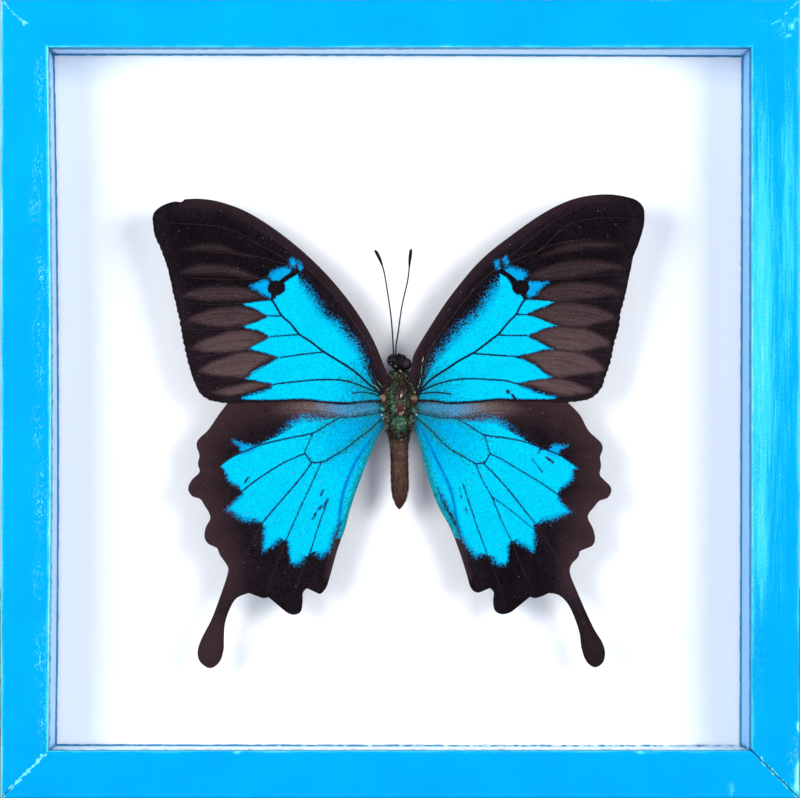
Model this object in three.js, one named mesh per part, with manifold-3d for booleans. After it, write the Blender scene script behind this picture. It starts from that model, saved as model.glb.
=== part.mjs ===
// A swallowtail butterfly, spread and pinned in a mitred wooden shadow-box frame with a glass front.
//
// Millimetres. X runs to the viewer's right, Y from the glass towards the wall, and Z up.
// The origin is the middle of the box's footprint, at the bottom. Inside the model a depth is
// counted from the front face of the frame, and heights in the frame from the middle of the box.

import * as THREE from 'three';
import { mergeVertices } from 'three/addons/utils/BufferGeometryUtils.js';
import Module from 'manifold-3d';

// ---- driving dimensions -------------------------------------------------------------------

// frame
const FRAME_SIDE = 170;
const FRAME_DEPTH = 32;
const BAR_WIDTH = 10.3;
const LIP_THICKNESS = 2.4;
const REBATE_WIDTH = 3.4;
const ARRIS = 0.6;
const MITRE_GAP = 0.15;

// what lies in the rebate, from the glass backwards
const SEAT_GAP = 0.1;
const REBATE_PLAY = 0.3;
const GLASS_THICKNESS = 2;
const LINER_THICKNESS = 2.8;
const CARD_FRONT = 22;
const CARD_THICKNESS = 1.5;
const BOARD_THICKNESS = 3;

// framer's points
const POINT_LENGTH = 10;
const POINT_WIDTH = 5;
const POINT_THICKNESS = 0.4;
const POINT_DRIVEN = 3;
const POINT_PLACES = [-45, 45];

// sawtooth hanger
const HANGER_LENGTH = 34;
const HANGER_HEIGHT = 5.2;
const HANGER_THICKNESS = 0.6;
const HANGER_STANDOFF = 1;
const HANGER_SADDLE = 22;
const HANGER_TEETH = 9;
const TOOTH_DEPTH = 1.4;
const NAIL_RADIUS = 0.45;
const NAIL_HEAD_RADIUS = 1.1;
const NAIL_HEAD_THICKNESS = 0.4;
const NAIL_LENGTH = 7;
const CUT_GAP = 0.3;

// butterfly
const WING_THICKNESS = 0.3;
const FOREWING_ROOT_DEPTH = 12.6;
const HINDWING_ROOT_DEPTH = 13.3;
const WING_RISE = 0.03;
const THORAX_DEPTH = 14;
const PIN_RADIUS = 0.25;
const PIN_TOP = 15.2;
const PIN_POINT = 25.2;

// ---- derived sizes ------------------------------------------------------------------------

const HALF = FRAME_SIDE / 2;
const WALL_WIDTH = BAR_WIDTH - REBATE_WIDTH;
const GLASS_SIDE = FRAME_SIDE - 2 * (WALL_WIDTH + REBATE_PLAY);
const GLASS_FRONT = LIP_THICKNESS + SEAT_GAP;
const LINER_FRONT = GLASS_FRONT + GLASS_THICKNESS + SEAT_GAP;
const BOARD_FRONT = CARD_FRONT + CARD_THICKNESS + SEAT_GAP;
const POINT_FRONT = BOARD_FRONT + BOARD_THICKNESS + SEAT_GAP;
const NAIL_SPREAD = (HANGER_LENGTH + HANGER_SADDLE) / 4 + 0.8;
const TOTAL_DEPTH = FRAME_DEPTH + HANGER_STANDOFF + HANGER_THICKNESS;

// ---- finishes -----------------------------------------------------------------------------

const finish = (color, roughness, metalness = 0) =>
  new THREE.MeshStandardMaterial({ color, roughness, metalness });
const BLUE_PAINT = finish(0x01b4fa, 0.55);
const GLASS = finish(0xf2f8fa, 0.03);
const FOAM_BOARD = finish(0xbfd4f4, 0.8);
const WHITE_CARD = finish(0xfafafc, 0.9);
const HARDBOARD = finish(0x9a7650, 0.85);
const STEEL = finish(0xb4b6b8, 0.4, 1);
const BRASS = finish(0xc2a35a, 0.35, 1);
const DARK_CHITIN = finish(0x2e2523, 0.7);
const BROWN_CHITIN = finish(0x4c352c, 0.75);
const WING_SCALES = finish(0x0aa9d8, 0.6);

// ---- solids -------------------------------------------------------------------------------

const wasm = await Module();
wasm.setup();

function solid(geometry) {
  // the closed mesh as a manifold, with each corner stored once
  const bare = geometry.clone();
  for (const name of Object.keys(bare.attributes)) {
    if (name !== 'position') bare.deleteAttribute(name);
  }
  const merged = mergeVertices(bare);
  return new wasm.Manifold(new wasm.Mesh({
    numProp: 3,
    vertProperties: new Float32Array(merged.attributes.position.array),
    triVerts: new Uint32Array(merged.index.array),
  }));
}

function meshOf(manifold) {
  const { vertProperties, triVerts } = manifold.getMesh();
  const geometry = new THREE.BufferGeometry();
  geometry.setAttribute('position', new THREE.BufferAttribute(new Float32Array(vertProperties), 3));
  geometry.setIndex(new THREE.BufferAttribute(new Uint32Array(triVerts), 1));
  geometry.computeVertexNormals();
  return geometry;
}

function cut(geometry, ...tools) {
  return meshOf(tools.reduce((left, tool) => left.subtract(solid(tool)), solid(geometry)));
}

function join(...geometries) {
  return meshOf(geometries.map(solid).reduce((left, right) => left.add(right)));
}

function box(width, depth, height, x, y, z) {
  return new THREE.BoxGeometry(width, depth, height).translate(x, y, z);
}

function rod(radius, front, back, x, z, sides = 12) {
  // a round bar along Y
  return new THREE.CylinderGeometry(radius, radius, back - front, sides)
    .translate(0, (front + back) / 2, 0).translate(x, 0, z);
}

function prism(points, front, back) {
  // an outline in X and Z, carried along Y
  const shape = new THREE.Shape(points.map(([x, z]) => new THREE.Vector2(x, z)));
  return new THREE.ExtrudeGeometry(shape, { depth: back - front, bevelEnabled: false })
    .rotateX(Math.PI / 2).translate(0, back, 0);
}

function skin(rings) {
  // rings of equal count around a path; the first and the last ring are single end points
  const sides = rings[1].length;
  const points = rings.flat();
  const index = [];
  const start = (ring) => 1 + (ring - 1) * sides;
  const last = points.length - 1;
  for (let k = 0; k < sides; k += 1) {
    const next = (k + 1) % sides;
    index.push(0, start(1) + next, start(1) + k);
    index.push(last, start(rings.length - 2) + k, start(rings.length - 2) + next);
    for (let ring = 1; ring < rings.length - 2; ring += 1) {
      const [a, b] = [start(ring) + k, start(ring) + next];
      const [c, d] = [start(ring + 1) + k, start(ring + 1) + next];
      index.push(a, b, d, a, d, c);
    }
  }
  const geometry = new THREE.BufferGeometry().setFromPoints(points);
  geometry.setIndex(index);
  geometry.computeVertexNormals();
  return geometry;
}

function tapered(points, radii, steps, sides) {
  // a round limb along a smooth curve; its radius runs through the given values
  const curve = new THREE.CatmullRomCurve3(points.map((p) => new THREE.Vector3(...p)));
  const frames = curve.computeFrenetFrames(steps, false);
  const radiusAt = (t) => {
    const place = t * (radii.length - 1);
    const low = Math.min(Math.floor(place), radii.length - 2);
    return THREE.MathUtils.lerp(radii[low], radii[low + 1], place - low);
  };
  const rings = [[curve.getPointAt(0)]];
  for (let i = 0; i <= steps; i += 1) {
    const centre = curve.getPointAt(i / steps);
    const ring = [];
    for (let k = 0; k < sides; k += 1) {
      const angle = (k / sides) * 2 * Math.PI;
      ring.push(centre.clone()
        .addScaledVector(frames.normals[i], radiusAt(i / steps) * Math.cos(angle))
        .addScaledVector(frames.binormals[i], radiusAt(i / steps) * Math.sin(angle)));
    }
    rings.push(ring);
  }
  rings.push([curve.getPointAt(1)]);
  return skin(rings);
}

function body(stations, sides, grow = 0) {
  // ellipses across a vertical body, each station [height, x, depth, half width, half depth]
  const rings = stations.map(([z, x, y, rx, ry]) => Array.from({ length: sides }, (_, k) => {
    const angle = (k / sides) * 2 * Math.PI;
    return new THREE.Vector3(x + (rx + grow) * Math.cos(angle), y + (ry + grow) * Math.sin(angle), z);
  }));
  const tip = ([z, x, y], by) => [new THREE.Vector3(x, y, z + by)];
  return skin([tip(stations[0], -0.3 - grow), ...rings, tip(stations.at(-1), 0.3 + grow)]);
}

// ---- the part -----------------------------------------------------------------------------

const part = new THREE.Group();
const framed = new THREE.Group();
framed.position.set(0, -TOTAL_DEPTH / 2, HALF);
part.add(framed);

function place(name, geometry, material, parent = framed) {
  const mesh = new THREE.Mesh(geometry, material);
  mesh.name = name;
  parent.add(mesh);
  return mesh;
}

// ---- rails: an L section with a front lip, mitred at both ends ------------------------------

const RAIL_SECTION = [
  [0, ARRIS],
  [ARRIS * 0.3, ARRIS * 0.3],
  [ARRIS, 0],
  [BAR_WIDTH - ARRIS / 2, 0],
  [BAR_WIDTH, ARRIS / 2],
  [BAR_WIDTH, LIP_THICKNESS],
  [WALL_WIDTH, LIP_THICKNESS],
  [WALL_WIDTH, FRAME_DEPTH],
  [0, FRAME_DEPTH],
];

function mitredRail() {
  // the bottom rail; a section point [inward, depth] ends where the 45 degree mitre meets it
  const ends = [-1, 1].map((side) => RAIL_SECTION.map(([inward, depth]) => new THREE.Vector3(
    side * (HALF - inward - MITRE_GAP), depth, inward - HALF,
  )));
  const count = RAIL_SECTION.length;
  const index = [];
  for (let k = 0; k < count; k += 1) {
    const next = (k + 1) % count;
    index.push(k, count + next, next, k, count + k, count + next);
  }
  const outline = RAIL_SECTION.map(([inward, depth]) => new THREE.Vector2(inward, depth));
  for (const [a, b, c] of THREE.ShapeUtils.triangulateShape(outline, [])) {
    index.push(a, b, c, count + a, count + c, count + b);
  }
  const geometry = new THREE.BufferGeometry().setFromPoints(ends.flat());
  geometry.setIndex(index);
  return geometry;
}

function pointSlots() {
  // the saw-thin slots that the framer's points are driven into
  const depth = POINT_THICKNESS + 2 * CUT_GAP;
  return POINT_PLACES.map((along) => box(
    POINT_WIDTH + 2 * CUT_GAP, depth, POINT_DRIVEN + 2 * CUT_GAP,
    along, POINT_FRONT + POINT_THICKNESS / 2, WALL_WIDTH - POINT_DRIVEN / 2 - HALF,
  ));
}

function nailHoles() {
  const height = WALL_WIDTH / 2 - HALF;
  return [-NAIL_SPREAD, NAIL_SPREAD].map((x) => rod(
    NAIL_RADIUS + CUT_GAP, FRAME_DEPTH - NAIL_LENGTH, FRAME_DEPTH + 1, x, height,
  ));
}

['bottom', 'left', 'top', 'right'].forEach((side, turn) => {
  const cuts = [...pointSlots(), ...(side === 'top' ? nailHoles() : [])];
  const rail = place(`rail_${side}`, cut(mitredRail(), ...cuts), BLUE_PAINT);
  rail.rotation.y = turn * Math.PI / 2;
});

// ---- glass, spacer strips, card and back board ----------------------------------------------

place('glass_pane', box(GLASS_SIDE, GLASS_THICKNESS, GLASS_SIDE,
  0, GLASS_FRONT + GLASS_THICKNESS / 2, 0), GLASS);

function addLiners() {
  const deep = CARD_FRONT - SEAT_GAP - LINER_FRONT;
  const middle = LINER_FRONT + deep / 2;
  const offset = (GLASS_SIDE - LINER_THICKNESS) / 2;
  const between = GLASS_SIDE - 2 * LINER_THICKNESS - 2 * SEAT_GAP;
  for (const [name, side] of [['top', 1], ['bottom', -1]]) {
    place(`liner_${name}`, box(GLASS_SIDE, deep, LINER_THICKNESS, 0, middle, side * offset), FOAM_BOARD);
  }
  for (const [name, side] of [['right', 1], ['left', -1]]) {
    place(`liner_${name}`, box(LINER_THICKNESS, deep, between, side * offset, middle, 0), FOAM_BOARD);
  }
}

function addBacking() {
  const card = box(GLASS_SIDE, CARD_THICKNESS, GLASS_SIDE, 0, CARD_FRONT + CARD_THICKNESS / 2, 0);
  const board = box(GLASS_SIDE, BOARD_THICKNESS, GLASS_SIDE, 0, BOARD_FRONT + BOARD_THICKNESS / 2, 0);
  const through = rod(PIN_RADIUS + CUT_GAP, CARD_FRONT - 1, BOARD_FRONT, 0, 0);
  const blind = rod(PIN_RADIUS + CUT_GAP, BOARD_FRONT - 1, PIN_POINT + CUT_GAP, 0, 0);
  place('mount_card', cut(card, through), WHITE_CARD);
  place('back_board', cut(board, blind), HARDBOARD);
}

addLiners();
addBacking();

// ---- framer's points: thin steel lozenges, driven half way into the rails ---------------------

function framersPoint() {
  const [half, tip] = [POINT_WIDTH / 2, POINT_LENGTH - POINT_DRIVEN];
  return prism([
    [-half, -POINT_DRIVEN], [half, -POINT_DRIVEN], [half, tip * 0.35], [0, tip], [-half, tip * 0.35],
  ], 0, POINT_THICKNESS);
}

let pointNumber = 0;
for (let turn = 0; turn < 4; turn += 1) {
  const side = new THREE.Group();
  side.rotation.y = turn * Math.PI / 2;
  framed.add(side);
  for (const along of POINT_PLACES) {
    pointNumber += 1;
    const point = place(`retaining_point_${pointNumber}`, framersPoint(), STEEL, side);
    point.position.set(along, POINT_FRONT, WALL_WIDTH - HALF);
  }
}

// ---- sawtooth hanger: a bowed strip with teeth along its lower edge ---------------------------

function hangerStrip() {
  const [end, saddle, joggle] = [HANGER_LENGTH / 2, HANGER_SADDLE / 2, 1.2];
  const face = [[-end, 0], [-saddle - joggle, 0], [-saddle, HANGER_STANDOFF],
    [saddle, HANGER_STANDOFF], [saddle + joggle, 0], [end, 0]];
  const back = face.map(([x, y]) => [x, y + HANGER_THICKNESS]).reverse();
  const shape = new THREE.Shape([...face, ...back].map(([x, y]) => new THREE.Vector2(x, y)));
  return new THREE.ExtrudeGeometry(shape, { depth: HANGER_HEIGHT, bevelEnabled: false })
    .translate(0, 0, -HANGER_HEIGHT / 2);
}

function toothGaps() {
  const pitch = (HANGER_SADDLE - 3) / HANGER_TEETH;
  const low = -HANGER_HEIGHT / 2;
  return Array.from({ length: HANGER_TEETH }, (_, k) => {
    const x = (k - (HANGER_TEETH - 1) / 2) * pitch;
    const half = pitch * 0.42;
    return prism([[x - half, low - 0.2], [x + half, low - 0.2], [x, low + TOOTH_DEPTH]], -1, 3);
  });
}

function nail() {
  // the shank ends in a short point and the head is a flat disc
  const profile = [[0, -NAIL_LENGTH + 1], [NAIL_RADIUS * 0.4, -NAIL_LENGTH + 1.3],
    [NAIL_RADIUS, -NAIL_LENGTH + 2.2], [NAIL_RADIUS, 0], [NAIL_HEAD_RADIUS, 0],
    [NAIL_HEAD_RADIUS, NAIL_HEAD_THICKNESS], [0, NAIL_HEAD_THICKNESS]];
  return new THREE.LatheGeometry(profile.map(([r, y]) => new THREE.Vector2(r, y)), 12);
}

function addHanger() {
  const height = HALF - WALL_WIDTH / 2;
  const holes = [-NAIL_SPREAD, NAIL_SPREAD].map((x) => rod(NAIL_RADIUS + CUT_GAP, -1, 3, x, 0));
  place('hanger', cut(hangerStrip(), ...toothGaps(), ...holes), BRASS)
    .position.set(0, FRAME_DEPTH, height);
  for (const [name, side] of [['left', -1], ['right', 1]]) {
    place(`hanger_nail_${name}`, nail(), STEEL)
      .position.set(side * NAIL_SPREAD, FRAME_DEPTH + HANGER_THICKNESS, height);
  }
}

addHanger();

// ---- body of the butterfly, heights from the middle of the thorax ---------------------------

const THORAX = [
  [-7.3, 0, THORAX_DEPTH + 0.1, 1.9, 1.8],
  [-6.2, 0, THORAX_DEPTH + 0.1, 2.4, 2.3],
  [-4.4, 0, THORAX_DEPTH, 2.7, 2.6],
  [-2, 0, THORAX_DEPTH, 2.75, 2.75],
  [0.4, 0, THORAX_DEPTH, 2.75, 2.8],
  [2.6, 0, THORAX_DEPTH, 2.7, 2.7],
  [4.4, 0, THORAX_DEPTH - 0.1, 2.4, 2.4],
  [5.6, 0, THORAX_DEPTH - 0.2, 1.9, 1.9],
];

function foldedLegs() {
  // three pairs, each from the breast outwards, down to a knee and back along the body
  const pairs = [
    [[0.8, 15.8, 3.2], [1.8, 17.6, 4.4], [1.2, 18.5, 2.2], [1, 18.4, -0.6]],
    [[0.9, 16, 0.8], [2.1, 17.8, 1.5], [1.7, 18.8, -1.8], [1.3, 18.6, -5]],
    [[0.9, 15.9, -1.8], [2.2, 17.6, -1.6], [1.9, 18.4, -5.6], [1.2, 17.9, -9.2]],
  ];
  const radii = [0.34, 0.3, 0.2, 0.14];
  return pairs.flatMap((leg) => [-1, 1].map(
    (side) => tapered(leg.map(([x, y, z]) => [side * x, y, z]), radii, 9, 5),
  ));
}

function addThorax() {
  const socket = rod(PIN_RADIUS + CUT_GAP, PIN_TOP - CUT_GAP, THORAX_DEPTH + 4, 0, 0, 10);
  place('thorax', cut(join(body(THORAX, 16), ...foldedLegs()), socket), DARK_CHITIN);
}

function abdomenStations() {
  // each ring of the abdomen swells between two shallow grooves and the last ones taper to the tip
  const rings = 9;
  const [top, bottom] = [-8, -23.5];
  const stations = [];
  for (let k = rings * 2; k >= 0; k -= 1) {
    const along = k / (rings * 2);
    const width = 2 * Math.min(1, 0.45 + 0.55 * Math.sqrt(Math.max(0, (1 - along) / 0.24)));
    const groove = k % 2 === 0 ? 0.94 : 1.02;
    const radius = Math.max(width * groove * (along > 0.96 ? 0.5 : 1), 0.3);
    stations.push([top + (bottom - top) * along, 0.1 * Math.sin(along * Math.PI),
      THORAX_DEPTH + 0.1 - 0.4 * along, radius, radius * 0.95]);
  }
  return stations;
}

function addHead() {
  // a round head with two large eyes and, in front, the two short palps; it sits a little askew
  const ball = (rx, ry, rz, x, y, z, sides) => new THREE.SphereGeometry(1, sides, sides * 0.6)
    .scale(rx, ry, rz).translate(x, y, z);
  const head = place('head', join(
    ball(1.9, 1.7, 1.7, 0, 0, 0, 14),
    ball(1.35, 1.5, 1.45, -1.45, 0, 0.1, 14),
    ball(1.35, 1.5, 1.45, 1.45, 0, 0.1, 14),
    ball(0.5, 0.55, 0.9, -0.35, 0.2, 1.35, 8),
    ball(0.5, 0.55, 0.9, 0.55, 0.2, 1.3, 8),
  ), DARK_CHITIN);
  head.position.set(0, 13.6, 8);
  head.rotation.y = 0.3;
}

function addAntennae() {
  const radii = [0.15, 0.14, 0.14, 0.15, 0.17, 0.28, 0.33, 0.2];
  place('antenna_left', tapered([[-1.25, 13.2, 10.35], [-1.35, 13.1, 12.4], [-1.75, 12.8, 17.7],
    [-2.5, 12.5, 23], [-3.35, 12.2, 27.8], [-4.4, 12, 30.7], [-5.3, 11.9, 32.2]], radii, 24, 6),
  DARK_CHITIN);
  place('antenna_right', tapered([[-0.75, 13.2, 10.35], [-0.65, 13.1, 12], [-0.3, 13, 14],
    [0.55, 12.7, 20], [1.85, 12.4, 25.9], [2.3, 12.2, 30.4], [2.55, 12.1, 32.5]], radii, 24, 6),
  DARK_CHITIN);
}

function addPin() {
  const profile = [[0, PIN_TOP], [PIN_RADIUS, PIN_TOP], [PIN_RADIUS, PIN_POINT - 1], [0, PIN_POINT]];
  place('specimen_pin', new THREE.LatheGeometry(
    profile.map(([r, y]) => new THREE.Vector2(r, y)), 10,
  ), STEEL);
}

addThorax();
place('abdomen', body(abdomenStations(), 14), BROWN_CHITIN);
addHead();
addAntennae();
addPin();

// ---- wings: a bowed sheet cut to the wing's outline --------------------------------------------
// Each outline is a chain of smooth stretches that meet at corners, as [x, height] from the thorax.

const FOREWING_LEFT = [
  // leading edge from the thorax to the worn nick at the tip
  [[-1, 1.7], [-3.1, 6.9], [-5.9, 13.5], [-10.5, 20.8], [-16.9, 28.3], [-24.5, 35], [-32, 40],
    [-38, 42.4], [-42.6, 43.2], [-46.2, 43.1]],
  [[-46.2, 43.1], [-46.9, 42.5], [-48.4, 42.6], [-50.8, 41.8], [-52.6, 40.4], [-53.1, 38.8]],
  // outer edge
  [[-53.1, 38.8], [-52.7, 35.4], [-51.4, 32.3], [-49.9, 28], [-48.8, 23.1], [-47.5, 17.5],
    [-46.7, 13.1], [-45.8, 9.1], [-44.8, 5.4], [-43.2, 1.7], [-41.3, 0], [-39.1, -0.6], [-37, -0.8]],
  // trailing edge back to the thorax
  [[-37, -0.8], [-32, -0.5], [-26.6, -0.4], [-20.8, -0.1], [-16.5, -0.6], [-11.5, -1], [-7.9, -0.5],
    [-4.4, -0.3], [-1, -0.6]],
];

const FOREWING_RIGHT = [
  [[1, 1.7], [2.6, 7.1], [3.3, 10.1], [6.8, 16], [11.1, 22.4], [17.6, 30.1], [25.1, 36.1],
    [31.6, 40.5], [37, 43], [41.7, 44], [46, 44.1], [49.7, 43.4], [51.4, 42.6], [52.5, 41.2],
    [52.7, 39.4], [52.5, 37.1], [51.6, 34.7]],
  [[51.6, 34.7], [51.1, 32.6], [49.9, 29.5], [49.3, 25.7], [48.6, 22.2], [47.6, 18.3], [47.3, 15.5],
    [46.3, 11.9], [45.6, 8.4], [44.3, 4.5], [43.4, 2.2], [41.3, 0.2], [38.7, -0.4], [36.3, -0.6]],
  [[36.3, -0.6], [30.5, -0.3], [24, -0.2], [21.2, -0.1], [16.5, -0.6], [11.1, -0.9], [7.9, -0.5],
    [4.6, -0.2], [1, -0.6]],
];

const HINDWING_LEFT = [
  // front edge, under the forewing
  [[-1, -2.2], [-3.3, -0.2], [-12.6, 1.9], [-23.4, 2.6], [-30.9, 1.9], [-34.6, 0.9], [-37, -0.8]],
  // lobed outer edge down to the tail
  [[-37, -0.8], [-38.9, -3.3], [-41.1, -6.5], [-43.1, -8.4], [-43.6, -9.9], [-43, -11.9],
    [-43.3, -13.8], [-43, -15.6], [-44.6, -17.2], [-45.4, -19.1], [-44.6, -20.7], [-42.8, -21.4],
    [-41.8, -22.9], [-40.9, -24.4], [-40.7, -25.7], [-41.6, -27.4], [-41.9, -29.5], [-41.1, -31],
    [-39.3, -31.8], [-38.6, -33.4], [-37.2, -35.4], [-36.8, -36.6], [-37.3, -38.8]],
  // round the spoon-shaped tail
  [[-37.3, -38.8], [-38.6, -42.5], [-40.4, -47.2], [-42.6, -51.5], [-43.4, -54.3], [-42.8, -56.5],
    [-40.7, -57.8], [-38.7, -56.5], [-37.8, -53.9], [-37.7, -51.3], [-37.5, -48.3], [-36.5, -45.1],
    [-35, -42.7], [-32.4, -41.6]],
  // lobes below the body
  [[-32.4, -41.6], [-30.5, -42.3], [-29.2, -42.7], [-27.7, -42.6], [-25.8, -44], [-24.5, -45.6],
    [-22.7, -46.3], [-21.2, -45.6], [-20.8, -43.5], [-20.7, -41.5], [-19.5, -40.5], [-18.2, -41.2],
    [-17, -41.8], [-15.7, -40.4], [-14.8, -37.7]],
  // inner edge beside the abdomen
  [[-14.8, -37.7], [-13.3, -32.3], [-11.5, -27.3], [-10.5, -23.4], [-8.2, -16.8], [-5.9, -11],
    [-4, -7.1], [-1, -4.3]],
];

const HINDWING_RIGHT = [
  [[1, -2.2], [3.3, -0.2], [12.6, 1.9], [23, 2.6], [30.5, 1.9], [34.2, 0.9], [36.3, -0.6]],
  [[36.3, -0.6], [38.8, -3.2], [40.6, -6.5], [42.1, -8], [43.5, -9.4], [43.7, -10.8], [43.2, -12.3],
    [43.4, -14.2], [43.1, -16], [43.9, -17.1], [45.3, -18.5], [45.6, -19.7], [44.8, -21.1],
    [43, -21.8], [41.9, -23.1], [40.7, -24.6], [40.7, -25.8], [41.7, -27.8], [42.1, -30],
    [41.4, -31.5], [39.1, -32.3], [38.5, -33.8], [37.1, -35.4], [36.7, -36.9], [37.2, -38.8]],
  [[37.2, -38.8], [38.5, -41.8], [40.2, -45.7], [42.1, -49.6], [43.7, -52.2], [44.3, -54.5],
    [43.8, -56.6], [42.1, -57.6], [40.3, -56.4], [39.2, -53.5], [38.8, -50.4], [37.8, -47.2],
    [36.3, -44], [34.4, -42.1], [32.2, -41.6]],
  [[32.2, -41.6], [30.7, -42.3], [29.2, -42.7], [27.7, -42.5], [25.4, -43.9], [24.4, -45.5],
    [22.3, -46.2], [20.6, -45.4], [20.2, -43.3], [20.3, -41.4], [19, -40.4], [17.8, -41.3],
    [16.6, -41.5], [15.4, -40.5], [14.6, -37.9]],
  [[14.6, -37.9], [13, -32.8], [11, -27.7], [8.5, -23.1], [6.8, -18.8], [5.2, -12.9], [3.6, -7.3],
    [1, -4.3]],
];

const forewingDepth = (x, z) => (
  FOREWING_ROOT_DEPTH - WING_RISE * Math.abs(x) + 0.0006 * (z - 15) ** 2
);

const hindwingDepth = (x, z) => (
  HINDWING_ROOT_DEPTH - WING_RISE * Math.abs(x) + 0.0004 * (z + 20) ** 2
  + 0.02 * Math.max(0, 8 - Math.abs(x)) ** 2
);

function outlinePoints(stretches) {
  return stretches.flatMap((stretch) => {
    const curve = new THREE.SplineCurve(stretch.map(([x, z]) => new THREE.Vector2(x, z)));
    const steps = Math.round((stretch.length - 1) * 1.6);
    return curve.getPoints(steps).slice(0, -1).map(({ x, y }) => [x, y]);
  });
}

function bowedSheet(outline, depthAt) {
  // a plate as large as the outline, bent so that its middle surface follows the depth
  const [xs, zs] = [outline.map((p) => p[0]), outline.map((p) => p[1])];
  const [x0, x1, z0, z1] = [Math.min(...xs) - 1, Math.max(...xs) + 1, Math.min(...zs) - 1,
    Math.max(...zs) + 1];
  const sheet = new THREE.BoxGeometry(x1 - x0, WING_THICKNESS, z1 - z0, 9, 1, 9)
    .translate((x0 + x1) / 2, 0, (z0 + z1) / 2);
  const corners = sheet.attributes.position;
  for (let i = 0; i < corners.count; i += 1) {
    corners.setY(i, corners.getY(i) + depthAt(corners.getX(i), corners.getZ(i)));
  }
  return sheet;
}

function wing(stretches, depthAt) {
  const outline = outlinePoints(stretches);
  const clockwise = THREE.ShapeUtils.area(outline.map(([x, z]) => new THREE.Vector2(x, z))) < 0;
  const shape = solid(prism(clockwise ? outline.reverse() : outline, 5, 20));
  const shoulder = solid(body(THORAX, 16, CUT_GAP));
  return meshOf(solid(bowedSheet(outline, depthAt)).intersect(shape).subtract(shoulder));
}

place('forewing_left', wing(FOREWING_LEFT, forewingDepth), WING_SCALES);
place('forewing_right', wing(FOREWING_RIGHT, forewingDepth), WING_SCALES);
place('hindwing_left', wing(HINDWING_LEFT, hindwingDepth), WING_SCALES);
place('hindwing_right', wing(HINDWING_RIGHT, hindwingDepth), WING_SCALES);

export default part;
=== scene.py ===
"""A blue swallowtail butterfly, spread on a pin in a painted wooden shadow-box behind glass.

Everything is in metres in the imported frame: X to the viewer's right, Y from the glass towards
the wall, Z up. Sizes inside the sections are in millimetres; depths are counted from the front
face of the box and heights from its middle, and MM turns both into metres.
"""

import bmesh
import bpy
import numpy as np
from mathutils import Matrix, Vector


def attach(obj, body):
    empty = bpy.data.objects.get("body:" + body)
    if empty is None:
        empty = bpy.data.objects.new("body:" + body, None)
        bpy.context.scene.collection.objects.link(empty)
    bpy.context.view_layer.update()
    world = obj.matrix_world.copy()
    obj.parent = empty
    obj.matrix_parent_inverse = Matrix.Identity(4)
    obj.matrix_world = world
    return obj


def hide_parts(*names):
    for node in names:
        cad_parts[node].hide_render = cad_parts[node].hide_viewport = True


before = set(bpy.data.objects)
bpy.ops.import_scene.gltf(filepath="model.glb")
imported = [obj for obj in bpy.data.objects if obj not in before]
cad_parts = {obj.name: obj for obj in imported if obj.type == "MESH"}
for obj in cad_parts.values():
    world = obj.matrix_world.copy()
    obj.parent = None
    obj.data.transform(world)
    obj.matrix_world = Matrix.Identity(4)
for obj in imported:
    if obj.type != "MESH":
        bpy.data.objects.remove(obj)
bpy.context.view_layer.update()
scene = bpy.context.scene

# ---- camera ------------------------------------------------------------------------------------
# A long lens, square to the glass and a little left of and below the middle of the box. The shift
# brings the whole front of the box into the picture.

CAMERA_PLACE = (-0.01275, -0.9518, 0.07246)
SENSOR_MM = 36
FOCAL_MM = 198
LENS_SHIFT = (0.075, 0.07375)
FARTHEST = 20
lens = bpy.data.cameras.new("camera")
lens.sensor_fit = "HORIZONTAL"
lens.sensor_width = SENSOR_MM
lens.lens = FOCAL_MM
lens.shift_x, lens.shift_y = LENS_SHIFT
lens.clip_end = FARTHEST
camera = bpy.data.objects.new("camera", lens)
camera.location = CAMERA_PLACE
camera.rotation_euler = (np.pi / 2, 0, 0)
scene.collection.objects.link(camera)
scene.camera = camera
scene.view_settings.view_transform = "Standard"

# ---- studio light and floor --------------------------------------------------------------------
# Two soft boxes stand left and right of the camera, well off the glass so that it mirrors
# neither. The table and the room behind are plain and pale.

SIDE_LIGHT_AWAY = 0.66
SIDE_LIGHT_ANGLE = np.radians(36)
SIDE_LIGHT_RISE = 0.1
SIDE_LIGHT_SIZE = 0.3
SIDE_LIGHT_WATTS = 3.85
SIDE_LIGHT_TINT = (1.0, 0.91, 0.83)
MIDDLE = Vector((0, 0.004, 0.085))


for side, name in ((-1, "soft_box_left"), (1, "soft_box_right")):
    light = bpy.data.lights.new(name, "AREA")
    light.shape = "SQUARE"
    light.size = SIDE_LIGHT_SIZE
    light.energy = SIDE_LIGHT_WATTS
    light.color = SIDE_LIGHT_TINT
    lamp = bpy.data.objects.new(name, light)
    lamp.location = (side * SIDE_LIGHT_AWAY * np.sin(SIDE_LIGHT_ANGLE),
                     -SIDE_LIGHT_AWAY * np.cos(SIDE_LIGHT_ANGLE), MIDDLE.z + SIDE_LIGHT_RISE)
    lamp.rotation_euler = (MIDDLE - lamp.location).to_track_quat("-Z", "Y").to_euler()
    scene.collection.objects.link(lamp)


def linear(hex_colour, alpha=1.0):
    """An sRGB hex colour as linear red, green, blue and alpha."""
    part = np.array([int(hex_colour[i:i + 2], 16) for i in (1, 3, 5)]) / 255
    part = np.where(part <= 0.04045, part / 12.92, ((part + 0.055) / 1.055) ** 2.4)
    return (*part.tolist(), alpha)


def feed(tree, target, inputs):
    """Sets a node's inputs to values, or links them to sockets or nodes. Of a node it takes the
    first output, which for a mix of colours stands third."""
    for key, value in dict(inputs).items():
        if isinstance(value, bpy.types.Node):
            value = value.outputs[2 if getattr(value, "data_type", None) == "RGBA" else 0]
        if isinstance(value, bpy.types.NodeSocket):
            tree.links.new(value, target.inputs[key])
        else:
            target.inputs[key].default_value = value


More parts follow.
